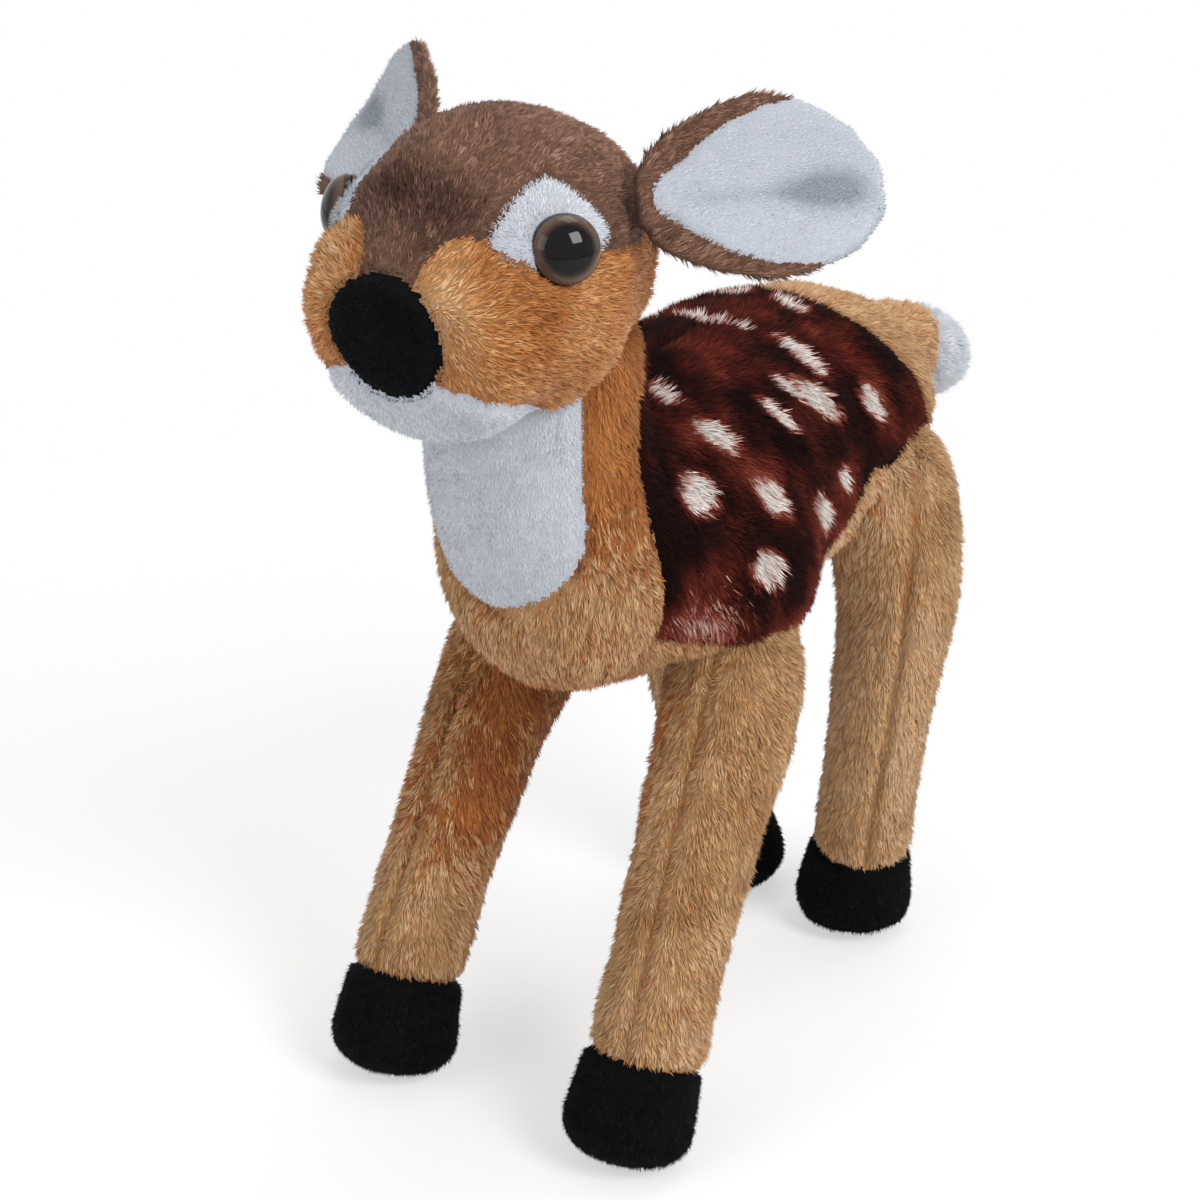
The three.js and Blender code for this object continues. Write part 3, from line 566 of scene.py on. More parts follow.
# Where the tan cloth's colour changes: the place in millimetres, and over how many it fades in
to_front, to_breast, to_neck = (-40, -15), (95, 20), (150, 35)
to_front_leg, to_hind_leg = (-20, -10), (15, 15)
below_elbow, below_knee, above_ankle = (125, -20), (120, -20), (45, 30)
to_inner_side = (34, -14)
panel_size, stroke_size = 55 * mm, 16 * mm


def tan_tone(root, normal, number, rng):
    """Tan pile varies from tuft to tuft, from stroke to stroke, and over the whole panel; the right front
    leg is also painted darker, partly as painted shade.
    """
    broad = waves(root, panel_size, 71) * 0.07 + waves(root, stroke_size, 72) * 0.06
    x, y, z = np.abs(root[:, 0]) / mm, root[:, 1] / mm, root[:, 2] / mm
    neck = fades_in(z, *to_neck) * fades_in(y, *to_front)
    chest = fades_in(y, *to_front) * fades_in(z, *to_breast)
    front_leg = fades_in(y, *to_front_leg) * fades_in(z, *below_elbow) * fades_in(z, *above_ankle)
    hind_leg = fades_in(y, *to_hind_leg) * fades_in(z, *below_knee)
    inner_leg = front_leg * fades_in(x, *to_inner_side)
    # The right front leg is painted rustier and darker: partly a redder dye, partly painted shade
    right_leg_dye_and_shade = front_leg * (root[:, 0] < 0)
    on_legs = np.minimum(0.65 * inner_leg + 0.4 * right_leg_dye_and_shade, 0.78)
    share = 0.06 + 0.3 * chest + 0.7 * neck + on_legs + broad * 2
    rusty = (number * 0.5 + rng.random(len(root)) * 0.5 < np.clip(share, 0, 1))
    light = 0.5 + broad * 2 + 0.3 * hind_leg + 0.2 * neck - 0.15 * right_leg_dye_and_shade + (number - 0.5) * 0.6
    light = np.clip(light + rng.normal(size=len(root)) * 0.18, 0, 1)
    return np.where(rusty, 0.12 + light * 0.28, 0.46 + light * 0.42)


# The print's spots on the left saddle, in millimetres: where, how long and how wide, and which way
saddle_spots = [
    ((0, 1, 200), 6.6, 3.0, (1, 0, 0)),
    ((9, 2, 199), 3.2, 1.6, (1, 0.1, 0)),
    ((9, 27, 200), 6.6, 3.0, (0.94, -0.25, -0.2)),
    ((25, 8.5, 192), 9.6, 3.2, (0.82, 0.2, -0.54)),
    ((34, 2, 184), 9.2, 4.0, (0.5, 0.57, -0.65)),
    ((29.5, -7, 188.5), 6.5, 1.8, (0.6, 0.4, -0.68)),
    ((33, -16, 184), 8.2, 2.2, (0.61, 0.42, -0.68)),
    ((29, -39, 184), 7.0, 3.2, (0.7, 0.36, -0.6)),
    ((13, -41, 193), 6.5, 3.2, (0.8, -0.3, 0.1)),
    ((38, 26, 177), 5.4, 4.0, (0.38, 0.41, -0.83)),
    ((33, -53, 173), 6.0, 5.4, (0.4, 0.5, -0.7)),
    ((41, -30, 167), 6.4, 4.2, (0.43, 0.52, -0.74)),
    ((43, -7, 156), 7.4, 3.6, (-0.1, 0.65, -0.75)),
    ((42.5, 5, 162), 4.2, 2.4, (-0.1, 0.5, -0.8)),
    ((48, -41, 152), 6.0, 4.8, (0.1, 0.8, -0.3)),
]


# Where the print turns red and dusty, and its crease at the thigh, in millimetres
to_rear_edge, to_lower_edge, to_shoulder, to_dust = (25, 42), (160, -36), (-15, -20), (150, -12)
pale_shoulder, pale_reach = (39, -58, 138), (7, 8, 7)
cloud_size, mottle_size, fray_size = 26 * mm, 11 * mm, 4 * mm
spot_reach = 14
spot_rim, spot_blur = 1.38, 0.6
fold_line, fold_sides, fold_foot = (19.5, 4), (30, 6), 140
thigh_fold = 1.6 * mm


def at_fold(points):
    """How near each point is to the crease at the thigh, which deepens toward the sides."""
    return hump(points[:, 1] / mm, *fold_line) * fades_in(np.abs(points[:, 0]) / mm, *fold_sides)


def saddle_tone(root, normal, number, rng):
    """The print: near-black cores that turn red and dusty toward the rear and lower edges, and spots; the
    crease at the thigh is darkened with painted shade.
    """
    y, z = root[:, 1] / mm, root[:, 2] / mm
    edge = np.maximum(fades_in(y, *to_rear_edge), fades_in(z, *to_lower_edge))
    cloud = waves(root * [1, 0.6, 1], cloud_size, 81) * 0.17 + waves(root, mottle_size, 82) * 0.08
    tone = 0.26 + edge * 0.2 - 0.1 * fades_in(y, *to_shoulder) + cloud
    tone += (number - 0.5) * 0.1 + rng.normal(size=len(root)) * 0.035
    # Painted shade: the tone drops in the crease at the thigh
    tone = np.clip(tone - 0.22 * at_fold(root), 0.06, 0.68)
    side = np.where(root[:, :1] < 0, -1.0, 1.0) * [1, 0, 0] + [0, 1, 1]
    folded = root * side / mm
    facing = normal * side
    fray = waves(root, fray_size, 83) * 0.1 + rng.normal(size=len(root)) * 0.1
    for centre, half_long, half_wide, way in saddle_spots:
        away = folded - centre
        depth = (away * facing).sum(1, keepdims=True)
        away = away - depth * facing
        way = np.array(way) / np.linalg.norm(way)
        lengthwise = away @ way
        sideways = np.sqrt(np.maximum((away ** 2).sum(1) - lengthwise ** 2, 0))
        ring = np.sqrt((lengthwise / half_long) ** 2 + (sideways / half_wide) ** 2) + fray
        ring[np.abs(depth[:, 0]) > spot_reach] = np.inf
        share = fades_in(ring, spot_rim, -spot_blur)
        tone = np.maximum(tone, np.where(share > 0, tone + (0.93 - tone) * share, 0))
    dusty = fades_in(z, *to_dust) * (0.16 + 0.5 * cloud)
    tone = np.where(tone < 0.7, np.minimum(tone + np.maximum(dusty, 0), 0.69), tone)
    pale = hump(folded, pale_shoulder, pale_reach).prod(1)
    streak = rng.random(len(root)) < pale
    tone[streak] = 0.7 + 0.12 * rng.random(streak.sum())
    return tone


bare_seam = 0.15 * mm
# Painted shade: how much darker strands are painted in a seam's groove, and over what width
painted_seam_shade, seam_shade_width = 0.22, 1.2 * mm
# Painted shade at the partings between tufts
painted_parting_shade = 0.14
top_tone = 0.999


def dress(form, piles, reach, hidden, seed):
    """Sews the panels of a form: piles gives each panel its pile, flow, tone, finishes and slot."""
    densest = max(plan["pile"]["density"] for plan in piles.values())
    root, normal, distances, seam = roots_on(form, densest, seed)
    nearest = distances.argmin(1)
    shown = (distances.min(1) < reach * mm) & (seam > bare_seam)
    for tree, depth in hidden:
        shown[shown] = depth_in(tree, root[shown]) < depth * mm
    face_distances = form["distances"][form["faces"]].mean(1)
    held_back = np.array([piles[panel].get("held_back", 0) * mm for panel in form["panels"]])
    face_nearest = (face_distances + held_back).argmin(1)
    made = {}
    for index, panel in enumerate(form["panels"]):
        plan = piles[panel]
        pile = plan["pile"]
        rng = np.random.default_rng(seed + 10 + index)
        mine = shown & (nearest == index) & (rng.random(len(root)) < pile["density"] / densest)
        at, out, gap = root[mine], normal[mine], seam[mine]
        foot, tip, number, border = grown(at, out, gap, pile, plan["flow"](at, out), seed + 40 + index)
        # Painted shade darkens the strands in a seam's groove and at the partings between tufts
        tone = plan["tone"](at, out, number, rng) - painted_seam_shade * hump(gap, 0, seam_shade_width)
        tone = np.clip(tone - painted_parting_shade * border * (number > 0.45), 0, top_tone)
        chosen = (face_nearest == index) & (face_distances.min(1) < reach * mm)
        shell = skin_shell(form, chosen)
        count = len(shell[0]) // 2
        even = np.full(count, 0.5)
        ground = np.clip(plan["tone"](shell[0][:count], shell[1][:count], even, rng), 0, top_tone)
        strands = (foot, tip, out, tone, pile["radius"])
        item = plush_piece(panel + "_plush", shell, ground, strands, plan["finishes"])
        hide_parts(panel)
        made[panel] = item
    return made


def nap_along(way):
    """Nap that lies one way all over a piece."""
    return lambda root, normal: np.tile(way, (len(root), 1))


def thigh_folds(points):
    """The saddle creases where the thigh begins."""
    return -thigh_fold * at_fold(points) * (points[:, 2] / mm > fold_foot)


# Round a limb's root, in millimetres: how far its socket's cap reaches, and how deep its pile goes in
hip_cap, tail_cap = 32, 20
hip_overlap, neck_overlap, ear_overlap, tail_overlap = 3.5, 2, 2, 3
down_and_back, straight_down = nap_along((0, 0.55, -0.85)), nap_along((0, 0.12, -1))
tan_cut = {"pile": long_pile, "flow": down_and_back, "finishes": [tan_backing, tan_pile],
           "tone": tan_tone, "slot": "tan_plush"}
saddle_cloth = {"pile": saddle_cut, "flow": down_and_back, "finishes": [saddle_backing, saddle_pile],
                "tone": saddle_tone, "slot": "saddle_plush"}
white_cloth = {"pile": white_nap, "flow": straight_down, "finishes": [white_backing, white_pile],
               "tone": lambda at, out, number, rng: 0.6 + (number - 0.5) * 0.5, "slot": "white_plush"}
trunk_piles = {
    "saddle_left": saddle_cloth, "saddle_right": saddle_cloth,
    "chest_panel": dict(tan_cut, flow=straight_down), "throat_bib": white_cloth,
    "belly_panel": tan_cut, "rump_panel": tan_cut,
}
trunk = stuffed_form(
    ["torso_stuffing"], list(trunk_piles), trunk_voxel, trunk_inset, trunk_groove, 12,
    [(hip, hip_cap) for hip in hips.values()] + [(tail_root, tail_cap)], ["throat_bib"], thigh_folds)
trunk_plush = dress(
    trunk, trunk_piles, reach=14,
    hidden=[(search_tree(limb + "_stuffing"), hip_overlap) for limb in (*hips, "head", "tail")], seed=100)
for panel, item in trunk_plush.items():
    if panel in ("belly_panel", "rump_panel"):
        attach(item, "torso")
    else:
        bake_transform(item)

# Inside each bag is loose polyester fibre, pushed in by hand through a gap that is sewn up last.
# It is white, matt and fine, and it is packed firm, so the toy stands on its four feet.
fibre_voxel = 3 * mm
fibre_clear = 2.2 * mm
clump_size = 4 * mm
clump_relief = 0.6 * mm


def fibre_filling():
    """Crimped white polyester fibre, in clumps with strands between them."""
    finish, tree, shader = new_finish("polyester fibre filling", {"Roughness": 0.95})
    where = add_node(tree, "ShaderNodeTexCoord")
    clumps = add_node(
        tree, "ShaderNodeTexNoise", {"Scale": 1 / clump_size, "Detail": 6, "Distortion": 1.5},
        {"Vector": where.outputs["Object"]})
    dye = add_node(tree, "ShaderNodeValToRGB", links={"Fac": clumps.outputs["Fac"]},
                   stops=[(0.3, "#d9d5cb"), (0.65, "#f3f0e9")])
    bump = add_node(tree, "ShaderNodeBump", {"Strength": 0.6, "Distance": clump_relief},
                    {"Height": clumps.outputs["Fac"]})
    tree.links.new(dye.outputs["Color"], shader.inputs["Base Color"])
    tree.links.new(bump.outputs["Normal"], shader.inputs["Normal"])
    return finish


fibre = fibre_filling()


def filling(node, bodies, start=None):
    """The fibre in one bag, a little inside the CAD filling."""
    item = one_skin(node + "_fibre", merged(node), fibre_voxel, 4, fibre_clear)
    item.data.shade_smooth()
    item.data.materials.append(fibre)
    if start is None:
        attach(item, bodies)
    else:
        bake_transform(item)
    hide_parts(node)


filling("torso_stuffing", "torso")
filling("head_stuffing", "head")

# The head is sewn from a brown crown, two orange-tan cheeks, a white jaw, two white eye patches and
# a black nose disc, and is stuffed the firmest of all. The pile runs back from the nose.
head_voxel = 2.4 * mm
head_inset = 0.8 * mm
head_groove = 0.5 * mm
eye_seats = {"left": (31.5, -108.25, 248), "right": (-31.5, -108.25, 248)}
head_panels = ["crown_panel", "jaw_panel", "nose_disc", "cheek_left", "cheek_right",
               "eye_patch_left", "eye_patch_right"]
brow_dip = 1.8 * mm
chin_fullness = 2.2 * mm
# Places on the head, in millimetres: the middle, and the reach about it
brow_across, brow_along, brow_above = (0, 20), (-123, 5), 245
chin_along, chin_up = (-128, 12), (210, 12)
crease_across, crease_along = (9, 11), (-122, 6)
socket_along, socket_up = (-118, 12), (236, 8)


def brow_and_chin(points):
    """A stitch pulls the brow in between the eyes; the chin is stuffed round."""
    x, y, z = points.T / mm
    brow = hump(y, *brow_along) * hump(x, *brow_across) * (z > brow_above)
    chin = hump(y, *chin_along) * hump(z, *chin_up)
    return chin_fullness * chin - brow_dip * brow


head = stuffed_form(
    ["head_stuffing"], head_panels, head_voxel, head_inset, head_groove, 8,
    napped=["jaw_panel", "nose_disc", "eye_patch_left", "eye_patch_right"], worked=brow_and_chin)

cheek_stops = [(0, "#7c4420"), (0.25, "#a96630"), (0.5, "#c1834a"), (0.75, "#d9a36d"), (1, "#e8c297")]
cheek_pile = cut_pile("orange tan polyester pile", cheek_stops)
crown_stops = [(0, "#3a251c"), (0.3, "#654738"), (0.55, "#886351"), (0.8, "#a17d69"), (1, "#b79580")]
crown_pile = cut_pile("grey brown polyester pile", crown_stops, sheen=0.03)
crown_backing = knit_backing("brown knitted backing", "#543628")
black_stops = [(0, "#09090b"), (0.5, "#131416"), (1, "#242528")]
black_pile = cut_pile("black napped polyester", black_stops, "#a0a0a0", sheen=0, gloss=0.06)
black_backing = knit_backing("black knitted backing", "#0b0c0d")


def move_seam(form, panel, inward):
    """Takes a panel in by a distance, or lets it out by one below zero; its neighbours follow."""
    column = form["panels"].index(panel)
    form["distances"][:, column] = np.maximum(form["distances"][:, column] + inward, 0)
    form["seam"] = beside_seam(form["distances"])


# On the muzzle the crown is sewn further in than its CAD solid, and the nose a little further out
to_muzzle, off_patch = (-121, -5), (2.4, 2)
crown_taken_in, nose_let_out = 2 * mm, 0.6 * mm
muzzle = fades_in(head["points"][:, 1] / mm, *to_muzzle)
for panel in ("nose_disc", "eye_patch_left", "eye_patch_right"):
    muzzle *= fades_in(head["distances"][:, head_panels.index(panel)] / mm, *off_patch)
move_seam(head, "crown_panel", crown_taken_in * muzzle)
move_seam(head, "nose_disc", -nose_let_out)
nose_front = (0, -150, 236)
crown_wave, cheek_wave = 30 * mm, 24 * mm
to_snout, snout_up = (-120, -10), (225, 15)


def back_from_nose(root, normal):
    """The head's nap: away from the nose, back over the crown and down the cheeks."""
    return unit(root - np.array(nose_front) * mm) + np.array([0, 0.5, -0.25])


def round_the_eye(root, normal):
    """The patch's nap: away from the eye."""
    centre = np.array(eye_seats["left"]) * mm * (np.sign(root[:, :1]) * [1, 0, 0] + [0, 1, 1])
    return unit(root - centre) + [0, 0.35, 0]


def plain_tone(middle, spread):
    """A tone for each strand that differs from tuft to tuft."""
    return lambda at, out, number, rng: (
        middle + (number - 0.5) * spread + rng.normal(size=len(at)) * 0.08)


def crown_tone(at, out, number, rng):
    """The crown is painted darker in the crease between the eyes, as painted shade."""
    # Painted shade in the crease between the eyes
    crease = hump(at[:, 1] / mm, *crease_along) * hump(np.abs(at[:, 0]) / mm, *crease_across)
    broad = waves(at, crown_wave, 91) * 0.08
    return 0.52 - 0.3 * crease + broad + (number - 0.5) * 0.45 + rng.normal(size=len(at)) * 0.08


def cheek_tone(at, out, number, rng):
    """The cheek is palest on the snout and rusty under the eye."""
    y, z = at[:, 1] / mm, at[:, 2] / mm
    under_eye = hump(y, *socket_along) * hump(z, *socket_up)
    snout = fades_in(y, *to_snout) * fades_in(z, *snout_up)
    broad = waves(at, cheek_wave, 92) * 0.09 + rng.normal(size=len(at)) * 0.08
    return 0.5 - 0.2 * under_eye + 0.2 * snout + broad + (number - 0.5) * 0.4


short_pile = dict(long_pile, length=2.3, tuft=1.8, run=1.3, density=2.5, radius=0.225)
nose_nap = {"length": 0.8, "radius": 0.2, "lift": 0.9, "tuft": 0.9, "run": 1, "stray": 0.4,
            "jitter": 0.35, "gather": 0.2, "density": 6}
cheek_cloth = {"pile": short_pile, "flow": back_from_nose, "finishes": [tan_backing, cheek_pile],
               "tone": cheek_tone, "slot": "cheek_plush"}
crown_cloth = {"pile": dict(short_pile, length=1.8), "flow": back_from_nose,
               "finishes": [crown_backing, crown_pile], "tone": crown_tone, "slot": "crown_plush"}
black_cloth = {"pile": nose_nap, "flow": back_from_nose, "finishes": [black_backing, black_pile],
               "tone": plain_tone(0.5, 0.6), "slot": "black_plush"}
patch_cloth = dict(white_cloth, flow=round_the_eye, held_back=0.7)
head_plush = dress(
    head,
    {"crown_panel": crown_cloth, "jaw_panel": dict(white_cloth, flow=back_from_nose),
     "nose_disc": dict(black_cloth, held_back=0.3),
     "cheek_left": cheek_cloth, "cheek_right": cheek_cloth,
     "eye_patch_left": patch_cloth, "eye_patch_right": patch_cloth},
    reach=9, hidden=[(trunk["tree"], neck_overlap)], seed=200)
for item in head_plush.values():
    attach(item, "head")

# Each eye is a clear moulded dome fused to a painted disc, with a shank through the plush that a
# washer grips from behind. What shows through the dome is its paint, a brown iris round a black pupil.
eye_radius = 8.2 * mm
eye_rise = 6.4 * mm
disc_thickness = 1.2 * mm
disc_bevel = 0.2 * mm
dome_step = 0.5 * mm
dome_foot = 0.15 * mm
shank_radius, shank_length = 1.6 * mm, 7 * mm
seat_gap = 0.1 * mm
eye_sides = 48
fleck_size = 0.8 * mm
flow_mark_size = 6 * mm


def eye_frame(side):
    """The eye's seat, and the way it looks: from its washer's middle to its dome's."""
    washer, dome = (
        Vector(corners_of(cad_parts[name + side]).mean(0)) for name in ("eye_washer_", "eye_dome_"))
    return place(eye_seats[side]), (dome - washer).normalized()


def eye_gloss(name, stops, rough):
    """Moulded acrylic over paint, glossy: the colour lies in rings about the pupil, a little flecked."""
    finish, tree, shader = new_finish(name, {"Roughness": rough, "IOR": 1.3})
    layer = add_node(tree, "ShaderNodeAttribute", {"attribute_name": "from_middle"})
    where = add_node(tree, "ShaderNodeTexCoord")
    flecks = add_node(tree, "ShaderNodeTexNoise", {"Scale": 1 / fleck_size},
                      {"Vector": where.outputs["Object"]})
    uneven = add_node(tree, "ShaderNodeMath", {"operation": "MULTIPLY_ADD", 1: 0.06},
                      {0: flecks.outputs["Fac"], 2: layer.outputs["Fac"]})
    dye = add_node(tree, "ShaderNodeValToRGB", links={"Fac": uneven.outputs["Value"]}, stops=stops)
    tree.links.new(dye.outputs["Color"], shader.inputs["Base Color"])
    return finish


def ring_attribute(item, seat, looks):
    """Stores how far each point lies from the eye's own line, as a share of its radius."""
    from_seat = corners_of(item) - np.array(seat)
    along_eye = from_seat @ np.array(looks)
    out = np.linalg.norm(from_seat - along_eye[:, None] * np.array(looks), axis=1) / eye_radius
    store(item.data, "from_middle", out)


def turned_piece(name, profile, seat, looks, finish):
    """A piece turned about the eye's own line, from its profile of (out, along) in metres."""
    bpy.ops.object.select_all(action="DESELECT")
    bpy.ops.mesh.primitive_circle_add(vertices=eye_sides, radius=profile[0][0], fill_type="NGON")
    item = bpy.context.object
    item.name = name
    bpy.ops.object.mode_set(mode="EDIT")
    bpy.ops.mesh.select_all(action="SELECT")
    bpy.ops.transform.translate(value=(0, 0, profile[0][1]))
    last = profile[0]
    for out, along in profile[1:]:
        bpy.ops.mesh.extrude_region_move(TRANSFORM_OT_translate={"value": (0, 0, along - last[1])})
        share = out / last[0]
        bpy.ops.transform.resize(value=(share, share, 1), center_override=(0, 0, along))
        last = (out, along)
    bpy.ops.mesh.select_all(action="SELECT")
    bpy.ops.mesh.remove_doubles(threshold=weld)
    bpy.ops.mesh.normals_make_consistent(inside=False)
    bpy.ops.object.mode_set(mode="OBJECT")
    turn = looks.to_track_quat("Z", "Y").to_matrix().to_4x4()
    item.data.transform(Matrix.Translation(seat) @ turn)
    item.data.materials.append(finish)
    bpy.ops.object.shade_smooth_by_angle(angle=math.radians(40))
    return item


iris_stops = [
    (0, "#020202"), (0.68, "#040303"), (0.75, "#261912"), (0.86, "#4d3b30"), (0.97, "#59473a"),
    (1, "#241812"),
]
dome_finish = eye_gloss("acrylic dome over iris paint", iris_stops, 0.04)
paint_finish = eye_gloss("iris enamel", iris_stops, 0.3)


def washer_plastic():
    """Natural polyethylene, moulded: milky, with a soft sheen and faint flow marks."""
    finish, tree, shader = new_finish("natural polyethylene", {"Roughness": 0.45})
    where = add_node(tree, "ShaderNodeTexCoord")
    marks = add_node(tree, "ShaderNodeTexNoise", {"Scale": 1 / flow_mark_size},
                     {"Vector": where.outputs["Object"]})
    dye = add_node(tree, "ShaderNodeValToRGB", links={"Fac": marks.outputs["Fac"]},
                   stops=[(0.3, "#dcdcd4"), (0.7, "#ecece6")])
    tree.links.new(dye.outputs["Color"], shader.inputs["Base Color"])
    return finish


moulded = washer_plastic()
dome_turns = [math.radians(angle) for angle in (0, 12, 24, 36, 48, 60, 72, 83)]
for side in ("left", "right"):
    seat, looks = eye_frame(side)
    dome_base = disc_thickness + dome_step
    dome_profile = [(eye_radius * 0.96, disc_thickness + dome_foot)] + [
        (eye_radius * math.cos(turn), dome_base + (eye_rise - disc_thickness) * math.sin(turn))
        for turn in dome_turns]
    dome = turned_piece("eye_dome_" + side + "_clear", dome_profile, seat, looks, dome_finish)
    disc_profile = [
        (shank_radius, -shank_length), (shank_radius, -seat_gap), (eye_radius * 0.97, 0),
        (eye_radius, disc_bevel), (eye_radius, disc_thickness - seat_gap),
        (eye_radius * 0.98, disc_thickness), (eye_radius * 0.6, disc_thickness),
        (disc_bevel, disc_thickness)]
    disc = turned_piece("eye_back_" + side + "_painted", disc_profile, seat, looks, paint_finish)
    for item, node, slot in ((dome, "eye_dome_", "eye_clear"), (disc, "eye_back_", "eye_paint")):
        ring_attribute(item, seat, looks)
        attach(item, "head")
        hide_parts(node + side)
    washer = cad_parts["eye_washer_" + side]
    washer.data.materials.clear()
    washer.data.materials.append(moulded)

# Each ear is a leaf of grey-brown plush with a white napped lining sewn inside it, folded at its
# root so that it cups, and stitched into the crown seam.
ear_voxel = 1.5 * mm
ear_inset = 0.5 * mm
ear_groove = 0.4 * mm
ear_hinges = {"left": (34.5, -80.25, 254), "right": (-34.5, -80.25, 254)}
ear_way = np.array([0.733, 0.634, 0.25])
ear_across = np.array([-0.387, 0.4235, 0.819])
ear_across -= ear_way * (ear_across @ ear_way)
ear_across /= np.linalg.norm(ear_across)
ear_pile = dict(short_pile, lift=0.4)
lining_nap = dict(white_nap, length=1.3)
# Along the ear from its root, in millimetres: where the painted shade in its hollow starts, deepens,
# widens and ends
hollow_start, hollow_deepens, hollow_widens, hollow_end = (6, 8), (26, 14), (28, 12), (54, -8)
hollow_from, hollow_aside, hollow_slant = 14, -3.8, 0.174
hollow_narrow, hollow_spread = 2.2, 2.6
to_ear_tip, tip_taken_over = (30, 14), 2.2 * mm


def lining_tone(at, out, number, rng):
    """The lining is painted grey along the hollow of the ear as painted shade, most toward the tip, where
    it is creased.
    """
    from_root = at * [0, 1, 1] + np.abs(at) * [1, 0, 0] - np.array(ear_hinges["left"]) * mm
    reach = from_root @ ear_way / mm
    middle = hollow_aside - hollow_slant * (reach - hollow_from)
    half = hollow_narrow + hollow_spread * fades_in(reach, *hollow_widens)
    # Painted shade in the hollow of the ear
    hollow = hump(from_root @ ear_across / mm, middle, half) * fades_in(reach, *hollow_end)
    hollow *= 0.25 * fades_in(reach, *hollow_start) + 0.75 * fades_in(reach, *hollow_deepens)
    return 0.5 + (number - 0.5) * 0.2 - 0.7 * hollow


for side, mirror in (("left", 1), ("right", -1)):
    way = ear_way * [mirror, 1, 1]
    hinge = np.array(ear_hinges[side])
    panels = ["ear_back_" + side, "ear_lining_" + side]
    ear = stuffed_form([], panels, ear_voxel, ear_inset, ear_groove, 6)
    reach = (ear["points"] - hinge * mm) @ way / mm
    move_seam(ear, panels[1], -tip_taken_over * fades_in(reach, *to_ear_tip))
    ear_plush = dress(
        ear,
        {panels[0]: dict(crown_cloth, pile=ear_pile, flow=nap_along(way), tone=plain_tone(0.5, 0.5)),
         panels[1]: dict(white_cloth, pile=lining_nap, flow=nap_along(way), tone=lining_tone)},
        reach=3, hidden=[(head["tree"], ear_overlap)], seed=320 - 20 * mirror)
    for item in ear_plush.values():
        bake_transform(item)

# Each leg is a bag of two tan panels, seamed down the front and the back, with a black hoof and a
# round sole sewn on below. It is stuffed as firm as the trunk and sewn to it at the hip.
leg_voxel = 2.8 * mm
leg_inset = 1.0 * mm
leg_groove = 1.8 * mm
hip_bend = (0, 0, 15)
hoof_nap = dict(white_nap, length=1.5, density=3, lift=0.55)
leg_cloth = dict(tan_cut, flow=straight_down)
hoof_cloth = dict(black_cloth, pile=hoof_nap, flow=straight_down, tone=plain_tone(0.45, 0.6))
for number_of_leg, (leg, hip) in enumerate(hips.items()):
    limb = leg.replace("leg_", "")
    panels = [leg + "_outer", leg + "_inner", "hoof_" + limb, "sole_" + limb]
    form = stuffed_form(
        [leg + "_stuffing"], panels, leg_voxel, leg_inset, leg_groove, 6, napped=panels[2:])
    leg_plush = dress(
        form,
        {panels[0]: leg_cloth, panels[1]: leg_cloth, panels[2]: hoof_cloth, panels[3]: hoof_cloth},
        reach=6, hidden=[(trunk["tree"], hip_overlap)], seed=400 + number_of_leg * 40)
    above, below = place(hip) + place(hip_bend), place(hip) - place(hip_bend)
    for item in leg_plush.values():
        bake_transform(item)
    filling(leg + "_stuffing", ("torso", leg), above)

# The tail is a small bag: a tan leaf on top and a white skin below that wraps round its edge.
tail_voxel = 2.2 * mm
tail_inset = 1.0 * mm
tail_groove = 1.3 * mm
tail_bend = 8
tail_way = np.array([0, 45, -24]) / 51
to_tail_tip = nap_along(tail_way)
tail_nap = dict(white_nap, length=2.6, tuft=1.6)
tail = stuffed_form(
    ["tail_stuffing"], ["tail_top", "tail_underside"], tail_voxel, tail_inset, tail_groove, 5)
tail_plush = dress(
    tail,
    {"tail_top": dict(tan_cut, flow=to_tail_tip),
     "tail_underside": dict(white_cloth, flow=to_tail_tip, pile=tail_nap)},
    reach=5, hidden=[(trunk["tree"], tail_overlap)], seed=600)
tail_start = place(np.array(tail_root) - tail_way * tail_bend)
for item in tail_plush.values():
    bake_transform(item)
filling("tail_stuffing", ("torso", "tail"), tail_start)

# The photograph's stage: a plain white floor, three soft boxes, white all round, and the camera
# above the toy at its left front.
floor_radius = 3
floor_fade_start, floor_fade_end = 0.15, 0.6
looked_at = (0, -0.02, 0.14)
bpy.ops.object.select_all(action="DESELECT")
bpy.ops.mesh.primitive_circle_add(vertices=96, radius=floor_radius, fill_type="TRIFAN")
floor = bpy.context.object
floor.name = "floor"
floor_finish, floor_tree, floor_shader = new_finish(
    "white paper floor", {"Base Color": linear("#f4f4f4"), "Roughness": 0.9})
floor_path = add_node(floor_tree, "ShaderNodeLightPath")
floor_where = add_node(floor_tree, "ShaderNodeTexCoord")
floor_far = add_node(floor_tree, "ShaderNodeVectorMath", {"operation": "LENGTH"},
                     {0: floor_where.outputs["Object"]})
floor_fade = add_node(
    floor_tree, "ShaderNodeMapRange",
    {"From Min": floor_fade_start, "From Max": floor_fade_end, "To Min": 0.55},
    {"Value": floor_far.outputs["Value"]})
floor_share = add_node(floor_tree, "ShaderNodeMath", {"operation": "MULTIPLY"},
                       {0: floor_fade.outputs["Result"], 1: floor_path.outputs["Is Camera Ray"]})
floor_white = add_node(floor_tree, "ShaderNodeEmission", {"Strength": 1})
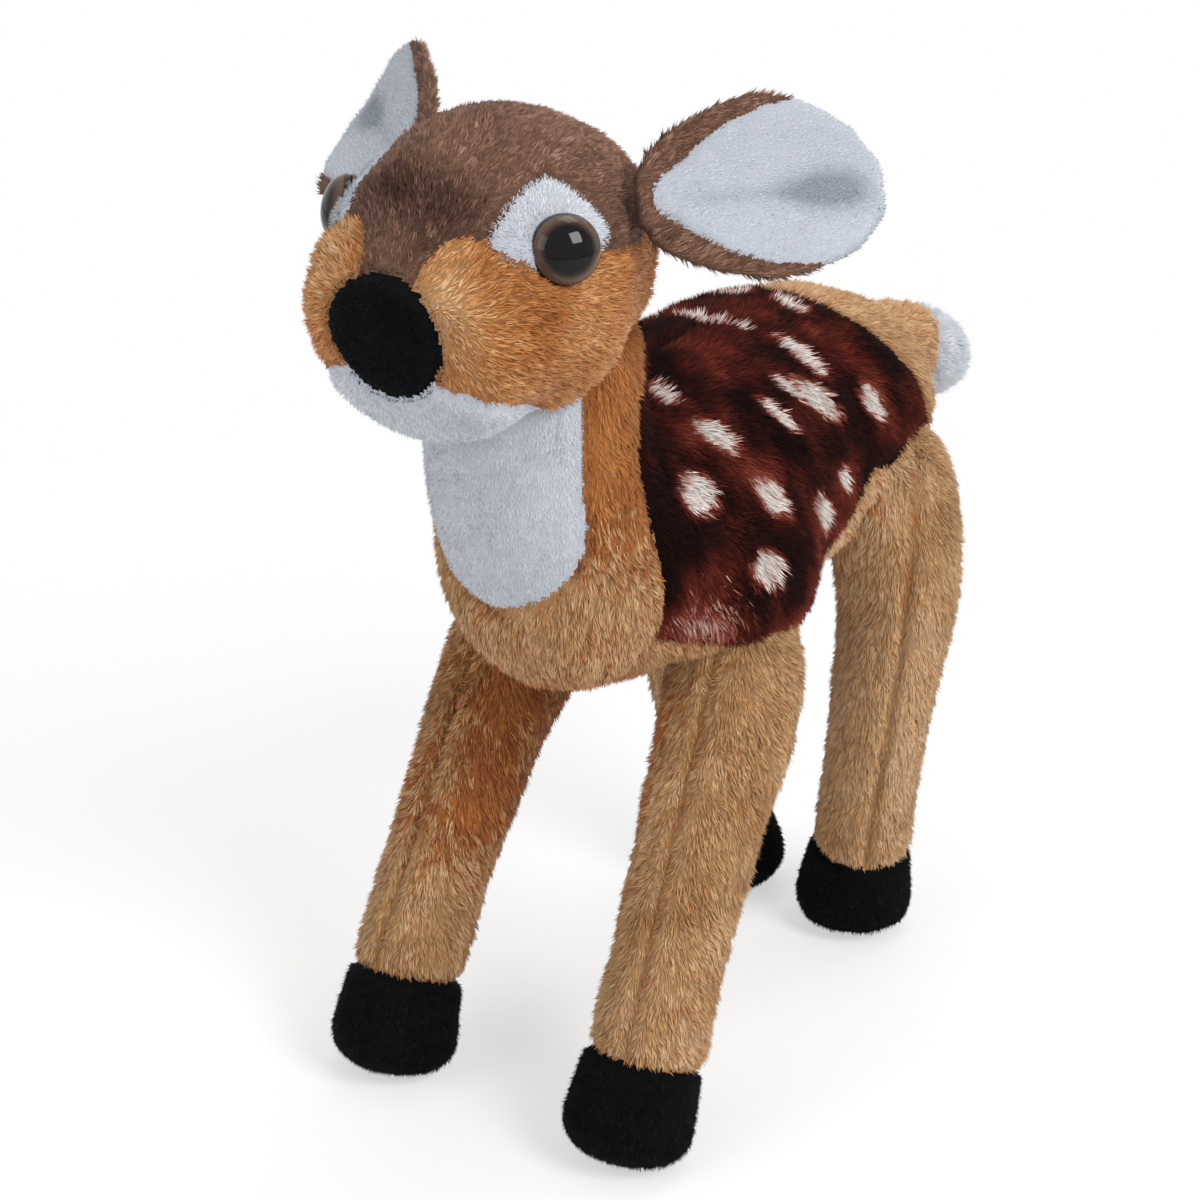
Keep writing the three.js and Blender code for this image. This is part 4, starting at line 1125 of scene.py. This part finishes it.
floor_mix = add_node(floor_tree, "ShaderNodeMixShader", links={
    0: floor_share.outputs["Value"], 1: floor_shader.outputs["BSDF"], 2: floor_white.outputs["Emission"]})
floor_out = floor_tree.nodes["Material Output"].inputs["Surface"]
floor_tree.links.new(floor_mix.outputs["Shader"], floor_out)
floor.data.materials.append(floor_finish)

world = bpy.data.worlds.new("white room")
bpy.context.scene.world = world
world.use_nodes = True
sky = world.node_tree
sky.nodes.clear()
path = add_node(sky, "ShaderNodeLightPath")
seen = add_node(sky, "ShaderNodeMath", {"operation": "MAXIMUM"},
                {0: path.outputs["Is Camera Ray"], 1: path.outputs["Is Glossy Ray"]})
shown = add_node(sky, "ShaderNodeMath", {"operation": "MAXIMUM"},
                 {0: seen.outputs["Value"], 1: path.outputs["Is Transmission Ray"]})
lit = add_node(sky, "ShaderNodeBackground", {"Color": (1, 1, 1, 1), "Strength": 0.55})
white = add_node(sky, "ShaderNodeBackground", {"Color": (1, 1, 1, 1), "Strength": 1})
choose = add_node(sky, "ShaderNodeMixShader", links={
    0: shown.outputs["Value"], 1: lit.outputs["Background"], 2: white.outputs["Background"]})
add_node(sky, "ShaderNodeOutputWorld", links={"Surface": choose.outputs["Shader"]})


def soft_lamp(name, at, size, power):
    """A square soft box that faces the toy's middle."""
    lamp = bpy.data.lights.new(name, "AREA")
    lamp.size = size
    lamp.energy = power
    item = new_object(name, lamp)
    item.location = at
    item.rotation_euler = (Vector(looked_at) - Vector(at)).to_track_quat("-Z", "Y").to_euler()


soft_lamp("key soft box", at=(1.35, -0.35, 1.2), size=0.7, power=21)
soft_lamp("fill soft box", at=(-0.6, -1.5, 0.9), size=1.0, power=8)
soft_lamp("top soft box", at=(0, 0.5, 1.8), size=1.0, power=10)

camera = bpy.data.cameras.new("camera")
camera.sensor_width = 36
camera.lens = 86.34
viewer = new_object("camera", camera)
viewer.location = place((402.09, -623.35, 423.38))
target = place((-2, -46.25, 133))
viewer.rotation_euler = (target - viewer.location).to_track_quat("-Z", "Y").to_euler()
bpy.context.scene.camera = viewer
bpy.context.scene.view_settings.view_transform = "Standard"
